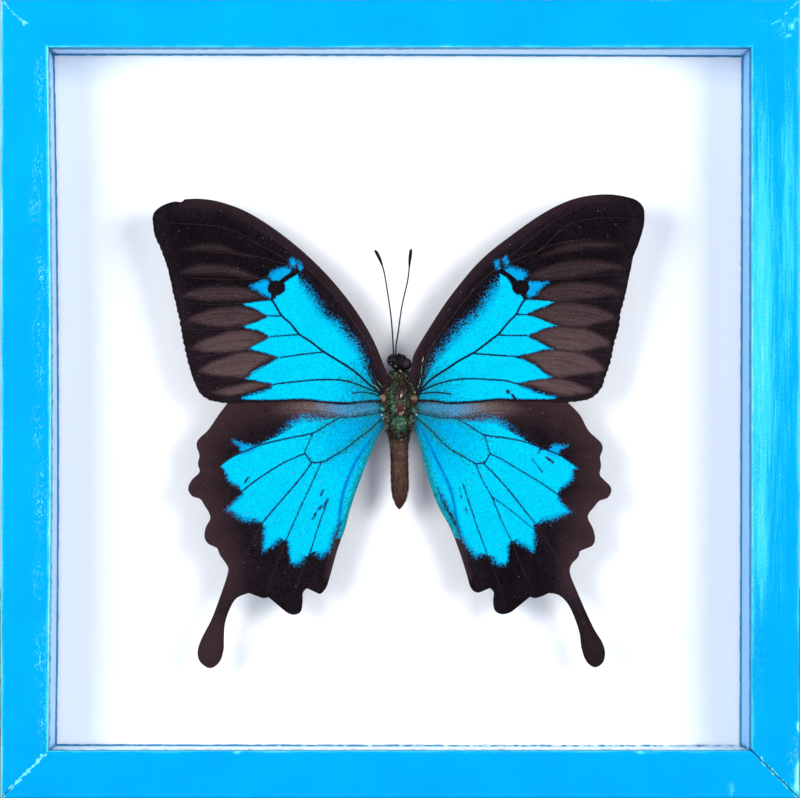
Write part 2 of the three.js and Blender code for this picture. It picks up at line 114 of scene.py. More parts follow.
def node(tree, kind, inputs=(), stops=(), **settings):
    """Adds a shader node of that kind; inputs are as for feed, and stops are a colour ramp's."""
    made = tree.nodes.new("ShaderNode" + kind)
    for key, value in settings.items():
        setattr(made, key, value)
    feed(tree, made, inputs)
    for place, (at, colour) in enumerate(stops):
        element = made.color_ramp.elements[place] if place < 2 else made.color_ramp.elements.new(at)
        element.position = at
        element.color = linear(colour)
    return made


def new_material(name, **constants):
    """A material with one Principled shader; constants are set straight on its sockets."""
    material = bpy.data.materials.new(name)
    material.use_nodes = True
    tree = material.node_tree
    shader = tree.nodes["Principled BSDF"]
    for key, value in constants.items():
        shader.inputs[key.replace("_", " ")].default_value = value
    return material, tree, shader


def quad_grid(rows, columns, around=False):
    """The four corners of each cell of a grid of points that is stored row by row."""
    row = np.arange(rows - 1)[:, None]
    column = np.arange(columns if around else columns - 1)[None, :]
    after = (column + 1) % columns
    corners = [row * columns + column, row * columns + after,
               (row + 1) * columns + after, (row + 1) * columns + column]
    return np.stack(corners, -1).reshape(-1, 4)


def mesh_object(name, points, faces, materials, face_material=None, attributes=(), smooth=True):
    """An object at the origin from points in metres, faces and float or vector attributes."""
    mesh = bpy.data.meshes.new(name)
    mesh.from_pydata(np.asarray(points).tolist(), [], [list(map(int, face)) for face in faces])
    for material in materials:
        mesh.materials.append(material)
    if face_material is not None:
        mesh.polygons.foreach_set("material_index", np.asarray(face_material, np.int32))
    for key, values in dict(attributes).items():
        values = np.asarray(values, np.float32)
        vector = values.ndim == 2
        layer = mesh.attributes.new(key, "FLOAT_VECTOR" if vector else "FLOAT", "POINT")
        layer.data.foreach_set("vector" if vector else "value", values.ravel())
    mesh.polygons.foreach_set("use_smooth", np.full(len(mesh.polygons), smooth))
    mesh.update()
    made = bpy.data.objects.new(name, mesh)
    scene.collection.objects.link(made)
    return made


# The room's strength as a light, in a mirror or through glass, and where it is seen itself.
ROOM_LIGHT = 0.285
ROOM_MIRRORED = 0.015
ROOM_SEEN = 0.9
room = bpy.data.worlds.new("room")
scene.world = room
room.use_nodes = True
tree = room.node_tree
path = node(tree, "LightPath")
mirrored = node(tree, "Math", {
    0: path.outputs["Is Glossy Ray"], 1: path.outputs["Is Transmission Ray"]}, operation="MAXIMUM")
unseen = node(tree, "MapRange", {"Value": mirrored, "To Min": ROOM_LIGHT, "To Max": ROOM_MIRRORED})
strength = node(tree, "MapRange", {
    "Value": path.outputs["Is Camera Ray"], "To Min": unseen, "To Max": ROOM_SEEN})
feed(tree, tree.nodes["Background"], {"Color": linear("#C8C6F8"), "Strength": strength})

# Matt laminate with a faint speckle.
SPECKLES_PER_METRE = 90.0
table_top, tree, shader = new_material("pale matt laminate", Roughness=0.6)
speckle = node(tree, "TexNoise", {
    "Vector": node(tree, "TexCoord").outputs["Object"], "Scale": SPECKLES_PER_METRE, "Detail": 3.0})
tone = node(tree, "ValToRGB", {"Fac": speckle}, stops=((0.3, "#DADDE3"), (0.7, "#E4E7EC")))
feed(tree, shader, {"Base Color": tone})
TABLE_HALF = 1.5
table = mesh_object("table", [(-TABLE_HALF, -TABLE_HALF, 0), (TABLE_HALF, -TABLE_HALF, 0),
                              (TABLE_HALF, TABLE_HALF, 0), (-TABLE_HALF, TABLE_HALF, 0)],
                    [(0, 1, 2, 3)], [table_top])
table.visible_shadow = False
table.visible_glossy = False
table.visible_transmission = False

# ---- rails -------------------------------------------------------------------------------------
# Four softwood mouldings with a front lip and a rebate, mitred, glued and painted sky blue. The
# paint is brushed on thin along each rail, rubbed pale at the arrises, where the pale line is
# partly painted highlight, and dry-brushed on the right.

MM = 0.001
FRAME_HALF = 85.0
FRAME_DEPTH = 32.0
BAR_WIDTH = 10.3
LIP_THICKNESS = 2.4
WALL_WIDTH = 6.9
FRONT_DEPTH = 16.8
OUTER_ARRIS = 0.4
INNER_ARRIS = 0.35
BACK_ARRIS = 0.35
MITRE_GAP = 0.002
MITRE_OPENING = 0.03
CRACK_DEPTH = 0.16
CRACK_HALF_WIDTH = 0.22
RAIL_STEPS = 360
ROUGH_PITCHES = (1.1, 2.3, 9.0, 0.7, 31.0)
SIDES = ("bottom", "left", "top", "right")


def placed(x, depth, height):
    """Points in metres from millimetres: depth from the front face, height from the middle."""
    return np.stack([x, depth - FRONT_DEPTH, height + FRAME_HALF], -1) * MM


def on_side(turn, along, low):
    """x and height of places on a side of the box, in quarter turns clockwise from the bottom."""
    angle = turn * np.pi / 2
    return (along * np.cos(angle) + low * np.sin(angle),
            -along * np.sin(angle) + low * np.cos(angle))


def bar_faces(rows, columns):
    """The faces of a bar, whose sections are stored row by row, with both ends closed."""
    return [*quad_grid(rows, columns, around=True),
            np.arange(columns)[::-1], (rows - 1) * columns + np.arange(columns)]


def rail_section():
    """The moulding's section as points (inward, depth): straight runs joined by round arrises."""
    turn = np.radians(np.arange(0, 91, 15))

    def arris(inward, depth, radius, start):
        angle = np.radians(start) + turn
        return np.stack([inward + radius * np.cos(angle), depth + radius * np.sin(angle)], 1)

    def run(a, b, count):
        share = np.linspace(0, 1, count + 2)[1:-1, None]
        return np.array(a) * (1 - share) + np.array(b) * share

    r, s, b = OUTER_ARRIS, INNER_ARRIS, BACK_ARRIS
    return np.vstack([
        arris(r, r, r, 180),
        run((r, 0), (BAR_WIDTH - s, 0), 15),
        arris(BAR_WIDTH - s, s, s, 270),
        run((BAR_WIDTH, s), (BAR_WIDTH, LIP_THICKNESS), 2),
        [(BAR_WIDTH, LIP_THICKNESS)],
        run((BAR_WIDTH, LIP_THICKNESS), (WALL_WIDTH, LIP_THICKNESS), 2),
        [(WALL_WIDTH, LIP_THICKNESS)],
        run((WALL_WIDTH, LIP_THICKNESS), (WALL_WIDTH, FRAME_DEPTH - b), 8),
        arris(WALL_WIDTH - b, FRAME_DEPTH - b, b, 0),
        run((WALL_WIDTH - b, FRAME_DEPTH), (b, FRAME_DEPTH), 5),
        arris(b, FRAME_DEPTH - b, b, 90),
        run((0, FRAME_DEPTH - b), (0, r), 16),
    ])


def wander(seed, length, pitch):
    """A smooth line of random heights, about -1 to 1, with one knot each pitch."""
    knots = np.random.default_rng(seed).uniform(-1, 1, int(np.ptp(length) / pitch) + 3)
    place = (length - length.min()) / pitch
    low = np.floor(place).astype(int)
    ease = place - low
    ease = ease * ease * (3 - 2 * ease)
    return knots[low] * (1 - ease) + knots[low + 1] * ease


# rubbed places on the front: x and height of the middle, half sizes and how far the paint is gone
RUBBED_PLACES = (
    (79.8, 10.0, 5.4, 60.0, 0.42), (76.9, 20.0, 2.0, 52.0, 0.6), (82.6, 46.0, 1.4, 34.0, 0.4),
    (76.6, -32.0, 1.6, 14.0, 0.4), (84.9, -69.7, 0.6, 1.1, 1.7), (84.7, -80.0, 0.8, 2.8, 1.7),
    (84.0, -82.7, 1.2, 1.1, 1.2), (-76.6, 40.0, 1.0, 5.0, 0.3), (-76.6, -22.0, 0.8, 14.0, 0.25),
    (70.5, -83.0, 0.5, 1.4, 1.0), (-34.6, -75.2, 0.8, 0.5, 0.9), (51.0, -75.2, 0.8, 0.4, 0.9),
    (-79.0, -10.0, 2.2, 24.0, 0.15), (83.2, 79.2, 0.45, 0.9, 1.5), (82.6, 77.2, 0.5, 0.35, 1.4),
    (79.3, 79.9, 0.35, 0.4, 1.3), (80.6, 80.3, 0.5, 0.3, 1.0), (84.3, 80.6, 0.5, 0.4, 1.2),
)
# places where fine scratches and flakes show as pale crooked lines
SCRATCHED_PLACES = (
    (-76.4, 66.7, 1.0, 6.0, 0.9), (-77.0, 48.6, 1.2, 5.0, 0.7), (-77.6, 40.2, 1.2, 4.5, 0.6),
    (-76.2, 26.3, 1.0, 6.0, 0.85), (-77.0, 14.7, 1.2, 4.0, 0.8), (-76.4, 6.2, 1.0, 4.0, 0.8),
    (-77.0, -6.0, 1.2, 5.0, 0.6), (-76.4, -20.8, 1.1, 8.0, 1.0), (-77.0, -38.5, 1.1, 5.0, 0.6),
    (-76.2, -55.5, 1.2, 7.0, 1.0), (-75.9, -68.2, 1.0, 5.0, 0.9), (81.8, 79.0, 1.8, 2.0, 0.8),
    (76.5, 0.0, 1.2, 60.0, 0.5), (83.8, -77.0, 1.2, 6.0, 0.8), (70.3, -82.8, 0.8, 1.2, 1.2),
)


def soft_spots(x, height, spots):
    """The sum of soft ellipses, each given by its middle, its half sizes and its strength."""
    total = np.zeros_like(x)
    for middle_x, middle_z, half_x, half_z, strength in spots:
        away = ((x - middle_x) / half_x) ** 2 + ((height - middle_z) / half_z) ** 2
        total += strength * np.exp(-away ** 1.5)
    return total


# Each mitre in turn, bottom left, top left, top right and bottom right: how far it has opened and
# how much paint has flaked off beside it, each with the share of its length where that starts.
MITRE_OPEN = ((0.9, 0.7), (0.0, 0.0), (0.0, 0.0), (1.0, -0.1))
MITRE_FLAKED = ((1.0, 0.0), (0.8, 0.35), (0.75, 0.55), (0.95, 0.05))
# how far the lip of the bottom, left, top and right rail bows into the opening
LIP_BOW = (0.0, 0.62, 0.0, 0.0)
# how worn the outer and the inner arris of those rails are; their pale line is partly painted
# highlight of the round edges
OUTER_WEAR_AND_HIGHLIGHT = (0.1, 1.5, 0.1, 0.75)
INNER_WEAR_AND_HIGHLIGHT = (0.9, 1.7, 1.0, 1.1)


def rail(turn):
    """The section carried along the rail, each point ending where it meets the 45 degree mitre."""
    section = rail_section()
    around = np.roll(section, -1, 0) - np.roll(section, 1, 0)
    outward = np.stack([-around[:, 1], around[:, 0]], 1)
    outward /= -np.linalg.norm(outward, axis=1, keepdims=True)
    share = np.linspace(-1, 1, RAIL_STEPS + 1)[:, None]
    inward, depth = section[:, 0], section[:, 1]
    outwards = np.clip(1 - inward / BAR_WIDTH, 0, 1)
    opened, flaked = (
        np.where(share < 0, *(strength * np.clip((outwards - start) / 0.12, 0, 1)
                              for strength, start in (table[turn], table[turn - 1])))
        for table in (MITRE_OPEN, MITRE_FLAKED))
    along = share * (FRAME_HALF - inward - MITRE_GAP - MITRE_OPENING * opened)
    front = depth < LIP_THICKNESS
    to_outer = np.hypot(inward, depth)
    to_inner = np.hypot(inward - BAR_WIDTH, depth)
    to_back = np.minimum(np.hypot(inward, depth - FRAME_DEPTH),
                         np.hypot(inward - WALL_WIDTH, depth - FRAME_DEPTH))
    to_mitre = (FRAME_HALF - inward - np.abs(along)) / np.sqrt(2)
    line = np.linspace(-FRAME_HALF, FRAME_HALF, RAIL_STEPS + 1)
    rough = [wander(40 * turn + k, line, pitch)[:, None] for k, pitch in enumerate(ROUGH_PITCHES)]
    # mm lost at the outer and the inner arris and over the flats, and the crack at an open mitre
    softened = (np.exp(-(to_outer / 0.9) ** 2) * (0.09 + 0.05 * rough[0] + 0.05 * rough[1])
                + np.exp(-(to_inner / 0.7) ** 2) * (0.05 + 0.04 * rough[3])
                + 0.02 + 0.015 * rough[4] * np.cos(inward * 0.6))
    groove = CRACK_DEPTH * opened * np.exp(-(to_mitre / CRACK_HALF_WIDTH) ** 2)
    sink = np.where(front | (inward < 0.2) | (depth > FRAME_DEPTH - 1), softened + groove, 0)
    sink = np.clip(sink, 0, None)
    moved_in = inward - sink * outward[:, 0] + LIP_BOW[turn] * np.clip(
        (inward - WALL_WIDTH) / (BAR_WIDTH - WALL_WIDTH), 0, 1) * np.cos(share * np.pi / 2) ** 1.3
    moved_depth = depth - sink * outward[:, 1]
    x, height = on_side(turn, along, moved_in - FRAME_HALF)
    # how far the paint is gone at the arrises, at the back edges and on the rubbed places; at the
    # front arrises the pale line is partly painted highlight
    worn = (np.exp(-(to_outer / 0.55) ** 2) * (OUTER_WEAR_AND_HIGHLIGHT[turn] + 0.3 * rough[2])
            + np.exp(-(to_inner / 0.42) ** 2) * (INNER_WEAR_AND_HIGHLIGHT[turn] + 0.25 * rough[1])
            + np.exp(-(to_back / 0.7) ** 2) * (0.7 + 0.4 * rough[0])
            + np.where(front, soft_spots(x, height, RUBBED_PLACES), 0.12 + 0.08 * rough[4]))
    scratched = np.where(front, soft_spots(x, height, SCRATCHED_PLACES), 0.1)
    grain = np.stack([along, np.broadcast_to(np.cumsum(np.hypot(*np.diff(
        section, axis=0, prepend=section[:1]).T)), along.shape), along * 0 + 37.0 * turn], -1)
    points = placed(x, np.broadcast_to(moved_depth, x.shape), height).reshape(-1, 3)
    return points, bar_faces(*along.shape), {
        "worn": worn.ravel(), "grain": grain.reshape(-1, 3) * MM, "scratched": scratched.ravel(),
        "joint": np.stack([to_mitre, opened + 0 * along, flaked + 0 * along], -1).reshape(-1, 3),
    }


# Sky-blue chalk paint, brushed thin: matt, with fine brush lines along the rail and pale chips; the
# pale line along the front arrises is partly painted highlight.
BRUSH_LINE = 0.42
BRUSH_STROKE = 11.0
CLOUD = 14.0
CHIP = 0.3
SCRATCH = 0.9
SHARP_FROM = np.radians(50)
sky_paint, tree, shader = new_material(
    "sky blue chalk paint", Roughness=0.5, Specular_IOR_Level=0.22,
    Specular_Tint=linear("#39BDF5"))
grain, worn, scratched = (node(tree, "Attribute", attribute_name=name)
                          for name in ("grain", "worn", "scratched"))
joint = node(tree, "SeparateXYZ", {
    0: node(tree, "Attribute", attribute_name="joint").outputs["Vector"]})
# brush lines, chips and clouds
brushed = node(tree, "Mapping", {
    "Vector": grain.outputs["Vector"],
    "Scale": (1 / (BRUSH_STROKE * MM), 1 / (BRUSH_LINE * MM), 50.0)})
lines = node(tree, "TexNoise", {"Vector": brushed, "Scale": 1.0, "Detail": 4.0, "Roughness": 0.65})
chips = node(tree, "TexNoise", {
    "Vector": grain.outputs["Vector"], "Scale": 1 / (CHIP * MM), "Detail": 5.0, "Roughness": 0.7})
clouds = node(tree, "TexNoise", {
    "Vector": grain.outputs["Vector"], "Scale": 1 / (CLOUD * MM), "Detail": 2.0})
streaks = node(tree, "Math", {0: lines, 1: chips}, operation="ADD")
# where the paint is worn thin, and then off, which along the front arrises also paints highlight
thin = node(tree, "Math", {0: worn.outputs["Fac"], 1: 0.62, 2: streaks}, operation="MULTIPLY_ADD")
gone_and_highlit = node(tree, "MapRange", {
    "Value": thin, "From Min": 1.2, "From Max": 1.52}, interpolation_type="SMOOTHSTEP")
body = node(tree, "ValToRGB", {"Fac": clouds}, stops=((0.3, "#0090CE"), (0.7, "#0098D6")))
worn_and_highlit_blue = node(tree, "Mix", {0: gone_and_highlit, 6: body, 7: linear("#2FB9D6")}, data_type="RGBA")
bare_and_highlit = node(tree, "MapRange", {
    "Value": thin, "From Min": 1.62, "From Max": 1.85}, interpolation_type="SMOOTHSTEP")
pale = node(tree, "Mix", {0: bare_and_highlit, 6: worn_and_highlit_blue, 7: linear("#80D8D6")}, data_type="RGBA")
# fine crooked scratches
crooked = node(tree, "TexNoise", {
    "Vector": node(tree, "Mapping", {
        "Vector": grain.outputs["Vector"], "Scale": (0.45, 1.0, 1.0)}).outputs[0],
    "Scale": 1 / (SCRATCH * MM), "Detail": 2.0, "Roughness": 0.6, "Distortion": 0.4})
off_line = node(tree, "Math", {0: crooked, 1: 0.5}, operation="SUBTRACT")
off_line = node(tree, "Math", {0: off_line}, operation="ABSOLUTE")
scratch = node(tree, "MapRange", {"Value": off_line, "From Min": 0.035, "From Max": 0.012})
broken = node(tree, "MapRange", {"Value": chips, "From Min": 0.47, "From Max": 0.58})
scratch = node(tree, "Math", {0: scratch, 1: broken}, operation="MULTIPLY")
scratch = node(tree, "Math", {0: scratch, 1: scratched.outputs["Fac"]},
               operation="MULTIPLY", use_clamp=True)
# flakes beside the mitres, and the open cracks
wavy = node(tree, "Math", {0: crooked, 1: 2.4, 2: joint.outputs[0]}, operation="MULTIPLY_ADD")
wavy = node(tree, "Math", {0: joint.outputs[2], 1: -0.9, 2: wavy}, operation="MULTIPLY_ADD")
beside = node(tree, "MapRange", {"Value": wavy, "From Min": 0.56, "From Max": 0.5})
ragged = node(tree, "MapRange", {"Value": chips, "From Min": 0.4, "From Max": 0.48})
flake = node(tree, "Math", {0: beside, 1: joint.outputs[2]}, operation="MULTIPLY")
flake = node(tree, "Math", {0: flake, 1: ragged}, operation="MULTIPLY")
bared = node(tree, "Math", {0: flake, 1: scratch}, operation="MAXIMUM")
chipped = node(tree, "Mix", {0: bared, 6: pale, 7: linear("#70D6D4")}, data_type="RGBA")
in_crack = node(tree, "MapRange", {"Value": joint.outputs[0], "From Min": 0.17, "From Max": 0.09})
seam = node(tree, "Math", {0: in_crack, 1: joint.outputs[1]}, operation="MULTIPLY")
paint = node(tree, "Mix", {0: seam, 6: chipped, 7: linear("#084268")}, data_type="RGBA")
relief = node(tree, "Bump", {"Height": streaks, "Strength": 0.35, "Distance": 0.04 * MM})
feed(tree, shader, {"Base Color": paint, "Normal": relief})

for turn, side in enumerate(SIDES):
    points, faces, attributes = rail(turn)
    piece = mesh_object(f"painted_rail_{side}", points, faces, [sky_paint], attributes=attributes)
    piece.data.set_sharp_from_angle(angle=SHARP_FROM)
    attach(piece, "root")
    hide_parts(f"rail_{side}")

# ---- glass -------------------------------------------------------------------------------------
# A 2 mm pane of clear float glass held behind the lips. Light passes it straight through.


def refinish(name, material):
    """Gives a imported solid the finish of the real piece."""
    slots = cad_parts[name].data.materials
    slots.clear()
    slots.append(material)


float_glass, tree, shader = new_material(
    "clear float glass", Base_Color=linear("#FBFEFE"), Roughness=0.0, IOR=1.5,
    Transmission_Weight=1.0, Specular_IOR_Level=0.5)
clear = node(tree, "BsdfTransparent", {"Color": linear("#FAFDFE")})
path = node(tree, "LightPath")
through = node(tree, "Math", {
    0: path.outputs["Is Shadow Ray"], 1: path.outputs["Is Diffuse Ray"]}, operation="MAXIMUM")
passed = node(tree, "MixShader", {0: through, 1: shader, 2: clear})
feed(tree, tree.nodes["Material Output"], {"Surface": passed})
refinish("glass_pane", float_glass)

# ---- spacer strips -----------------------------------------------------------------------------
# Paper-faced foam-board strips line the box between the glass and the card. They were cut by
# hand and bow inwards a little; their front and rear edges carry a ragged dark-blue line that is
# partly paint and partly painted shade of the gaps at the lip and the card. The inner corners
# carry painted shade, and each strip's paleness and blue tone are painted light.

LINER_OUTER = 7.2
LINER_INNER = 10.0
LINER_FRONT = 4.65
LINER_REAR = 21.9
LINER_LONG = 77.8
LINER_SHORT = 74.9
LINER_STEPS = 320
LEDGE_FLAT, LEDGE_UPRIGHT, LEDGE_REAR = 0.28, 0.36, 0.34
FACE_FRONT, FACE_REAR, FACE_ROWS = 5.8, 21.0, 8
# bottom, left, top and right: how far the rear edge bows in at both ends and the middle, how
# strongly the front edge carries the dark line of paint and painted shade, the same for the rear
# edge at both ends, and how pale the paper is on that side, as painted light
LINERS = (
    ((-0.05, -0.15, -0.2), 0.4, (0.8, 0.5), 1.0), ((-0.1, 0.84, 0.38), 0.42, (0.85, 0.8), 0.3),
    ((0.15, -0.15, -0.24), 0.8, (0.85, 0.85), 0.5), ((0.6, 0.4, 0.17), 1.1, (1.1, 1.0), 0.0),
)


def liner(turn):
    """The strip's section carried along the rail, ragged at its two inner edges."""
    (start, middle, end), front_paint_and_shade, rear_paint_and_shade, painted_side_light = LINERS[turn]
    reach = LINER_SHORT if turn % 2 else LINER_LONG
    along = np.linspace(-reach, reach, LINER_STEPS)
    share = along / reach
    bow = middle + share * (end - start) / 2 + share ** 2 * ((start + end) / 2 - middle)
    ragged = [wander(500 + 10 * turn + k, along, pitch) for k, pitch in enumerate((0.8, 1.1))]
    lip = LIP_BOW[turn] * np.cos(share * np.pi / 2) ** 1.3
    ledge = LEDGE_UPRIGHT if turn % 2 else LEDGE_FLAT
    front = LINER_INNER + lip + ledge + 0.05 * ragged[0]
    rear = LINER_INNER + bow + LEDGE_REAR + 0.06 * ragged[1]
    inner = LINER_INNER + (bow - 0.06) * np.linspace(0.3, 1, FACE_ROWS)[:, None]
    flat = 0 * along
    # the rear line: paint and painted shade where the strip meets the card
    rear_shade_paint_share = np.interp(share, (-1, 1), rear_paint_and_shade)
    # the section, row by row: distance inwards, depth and the share of the dark line, partly paint
    # and partly painted shade
    rows = [(LINER_OUTER + flat, LINER_FRONT, flat), (front - 0.5, LINER_FRONT, front_paint_and_shade + flat),
            (front, LINER_FRONT + 0.1, front_paint_and_shade + flat),
            (front, LINER_FRONT + 0.7, front_paint_and_shade + flat),
            *((line, depth, flat)
              for line, depth in zip(inner, np.linspace(FACE_FRONT, FACE_REAR, FACE_ROWS))),
            (inner[-1] + 0.01, 21.02, rear_shade_paint_share), (rear - 0.05, 21.3, rear_shade_paint_share),
            (rear, LINER_REAR - 0.05, rear_shade_paint_share), (LINER_OUTER + flat, LINER_REAR, flat)]
    low = np.stack([row[0] for row in rows], 1) - FRAME_HALF
    depth = np.broadcast_to([row[1] for row in rows], low.shape)
    shade_paint_share = np.stack([row[2] for row in rows], 1)
    # painted shade in the inner corners, where two strips meet
    corner_shade = np.exp(-((FRAME_HALF - LINER_INNER - np.abs(along)) / 1.2) ** 2)[:, None]
    shade_paint_share = np.maximum(shade_paint_share, corner_shade * (0.65 + 0.3 * np.sign(shade_paint_share)))
    x, height = on_side(turn, along[:, None], low)
    return placed(x, depth, height).reshape(-1, 3), bar_faces(*low.shape), {
        "shade_paint_line": shade_paint_share.ravel(), "painted_side_light": np.full(low.size, painted_side_light)}


# Pale blue paper over foam board, whose blue tone and paleness per side are painted light; the
# dark-blue line of paint and painted shade sits on its edges in short dashes.
PAPER_FIBRE = 0.5
SHADE_PAINT_DASH = 1.4
foam_strip, tree, shader = new_material("paper-faced foam board", Roughness=0.7)
place = node(tree, "TexCoord")
shade_paint_line = node(tree, "Attribute", attribute_name="shade_paint_line")
painted_side_light = node(tree, "Attribute", attribute_name="painted_side_light")
fibre = node(tree, "TexNoise", {
    "Vector": place.outputs["Object"], "Scale": 1 / (PAPER_FIBRE * MM), "Detail": 4.0})
dash = node(tree, "TexNoise", {
    "Vector": place.outputs["Object"], "Scale": 1 / (SHADE_PAINT_DASH * MM), "Detail": 3.0})
# painted light: the blue tone stands partly for light bounced off the blue frame, and each strip's
# paleness for how the lamps fall on its side
tone = node(tree, "ValToRGB", {"Fac": fibre}, stops=((0.3, "#7EBAEC"), (0.7, "#8CC4F2")))
side_lit_paper = node(tree, "Mix", {
    0: painted_side_light.outputs["Fac"], 6: tone, 7: linear("#E4F4FC")}, data_type="RGBA")
shade_paint_cover = node(tree, "Math", {
    0: dash, 1: -1.1, 2: shade_paint_line.outputs["Fac"]}, operation="MULTIPLY_ADD")
shade_paint_cover = node(tree, "Math", {0: shade_paint_cover, 1: 0.2}, operation="ADD")
shade_paint_cover = node(tree, "Math", {0: shade_paint_cover, 1: 3.0}, operation="MULTIPLY", use_clamp=True)
shade_and_paint_edges = node(tree, "Mix", {0: shade_paint_cover, 6: side_lit_paper, 7: linear("#1078AC")}, data_type="RGBA")
feed(tree, shader, {"Base Color": shade_and_paint_edges})

for turn, side in enumerate(SIDES):
    points, faces, attributes = liner(turn)
    piece = mesh_object(f"foam_spacer_{side}", points, faces, [foam_strip], attributes=attributes,
                        smooth=False)
    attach(piece, "root")
    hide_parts(f"liner_{side}")

# ---- card and back board -----------------------------------------------------------------------
# A sheet of smooth white card carries the specimen. A brown hardboard, smooth in front and with
# a screened back, closes the box behind it.

# Smooth white card with a faint fibre.
white_card, tree, shader = new_material("smooth white card", Roughness=0.75,
                                        Specular_IOR_Level=0.3)
place = node(tree, "TexCoord").outputs["Object"]
fibre = node(tree, "TexNoise", {"Vector": place, "Scale": 1 / (PAPER_FIBRE * MM), "Detail": 5.0})
tone = node(tree, "ValToRGB", {"Fac": fibre}, stops=((0.3, "#F4F6FC"), (0.7, "#F9FAFE")))
bump = node(tree, "Bump", {"Height": fibre, "Strength": 0.15, "Distance": 0.02 * MM})
feed(tree, shader, {"Base Color": tone, "Normal": bump})

# Brown hardboard of pressed chaff, with the print of the press's screen on its back.
SCREEN_PITCH = 1.3
CHAFF = 0.8
hardboard, tree, shader = new_material("tempered hardboard", Roughness=0.62)
place = node(tree, "TexCoord").outputs["Object"]
chaff = node(tree, "TexNoise", {
    "Vector": place, "Scale": 1 / (CHAFF * MM), "Detail": 6.0, "Roughness": 0.75})
tone = node(tree, "ValToRGB", {"Fac": chaff},
            stops=((0.25, "#5C3F26"), (0.6, "#8A643F"), (0.8, "#A9835A")))
screen = node(tree, "TexVoronoi", {
    "Vector": place, "Scale": 1 / (SCREEN_PITCH * MM), "Randomness": 0.15})
rough = node(tree, "Math", {0: screen, 1: chaff}, operation="ADD")
bump = node(tree, "Bump", {"Height": rough, "Strength": 0.6, "Distance": 0.12 * MM})
feed(tree, shader, {"Base Color": tone, "Normal": bump})

refinish("mount_card", white_card)
refinish("back_board", hardboard)

# ---- points, hanger, nails and pin -------------------------------------------------------------
# Framer's points and nails are stamped and drawn from bright steel; the sawtooth strip is brass
# plated. The specimen's pin is polished steel wire.


def metal(name, dark, bright, roughness, streak):
    """Rolled or drawn metal: a noise of that streak length mixes two tones and two glosses."""
    made, tree, shader = new_material(name, Metallic=1.0)
    place = node(tree, "TexCoord")
    mark = node(tree, "TexNoise", {
        "Vector": place.outputs["Object"], "Scale": 1 / (streak * MM), "Detail": 5.0})
    tone = node(tree, "ValToRGB", {"Fac": mark}, stops=((0.3, dark), (0.7, bright)))
    gloss = node(tree, "MapRange", {"Value": mark, "To Min": roughness + 0.1, "To Max": roughness})
    feed(tree, shader, {"Base Color": tone, "Roughness": gloss})
    return made


bright_steel = metal("bright stamped steel", "#8C8F92", "#C4C7CA", 0.28, 0.9)
plated_brass = metal("brass-plated strip", "#9C7B34", "#D8B766", 0.25, 1.4)
pin_steel = metal("polished steel wire", "#9A9DA1", "#D2D5D8", 0.15, 0.5)
refinish("hanger", plated_brass)
refinish("specimen_pin", pin_steel)
for name in ("hanger_nail_left", "hanger_nail_right",
             *(f"retaining_point_{k}" for k in range(1, 9))):
    refinish(name, bright_steel)

# ---- wings -------------------------------------------------------------------------------------
# Each wing is a thin membrane on tube-like veins, covered in rows of coloured scales. It was
# dried flat on a board, so it is only slightly bowed. Outlines are x and height from the middle.

CHART_UNIT = 0.21557
CHART_MIDDLE = (398.5, 400.0)
MEMBRANE = 0.14
MEMBRANE_EDGE = 0.05
MEMBRANE_SWELL = 0.07
SWELL_REACH = 0.8
CELL = 0.33
FORE_COLUMNS, HIND_COLUMNS = 126, 104
VEIN_STEP = 0.6
VEIN_PROUD = 0.06
VEIN_FLATNESS = 0.7
FORE_SLIMNESS, HIND_SLIMNESS = 0.8, 0.62
GRAIN_SPAN = 45
WELD = 1e-7


def chart(points):
    """Marks set out on the wing chart, x rightwards and y downwards, as millimetres."""
    return (np.array(points, float) - CHART_MIDDLE) * (CHART_UNIT, -CHART_UNIT)


def smooth(points, steps=8):
    """A curve through the points: on each span a cubic whose end slopes are half the step
    between the neighbours on both sides."""
    p = np.array(points, float)
    before, after = np.vstack([p[:1], p[:-2]])[:, None], np.vstack([p[2:], p[-1:]])[:, None]
    a, b = p[:-1, None], p[1:, None]
    t = (np.arange(steps) / steps)[None, :, None]
    spans = ((2 * t**3 - 3 * t**2 + 1) * a + (t**3 - 2 * t**2 + t) * (b - before) / 2
             + (3 * t**2 - 2 * t**3) * b + (t**3 - t**2) * (after - a) / 2)
    return np.vstack([spans.reshape(-1, p.shape[1]), p[-1:]])


def even(line, count):
    """That many points evenly spaced along a line."""
    reach = np.concatenate([[0], np.cumsum(np.linalg.norm(np.diff(line, axis=0), axis=1))])
    marks = np.linspace(0, reach[-1], count)
    return np.stack([np.interp(marks, reach, line[:, k]) for k in range(line.shape[1])], 1)


def matched(front, rear, pairs):
    """Both sides cut at the paired stations and stepped evenly, so that ribs join equals."""
    cuts = [[int(np.argmin(np.hypot(*(line - pair[side]).T))) for pair in pairs]
            for side, line in enumerate((front, rear))]
    sides = ([], [])
    for k in range(len(pairs) - 1):
        pieces = [line[cut[k]:cut[k + 1] + 1] for line, cut in zip((front, rear), cuts)]
        longest = max(np.linalg.norm(np.diff(piece, axis=0), axis=1).sum() for piece in pieces)
        count = max(2, int(np.ceil(longest / CELL)))
        for side, piece in zip(sides, pieces):
            side.append(even(piece, count + 1)[:-1] if len(piece) > 1
                        else np.repeat(piece, count, 0))
    return [np.vstack([*side, line[-1:]]) for side, line in zip(sides, (front, rear))]


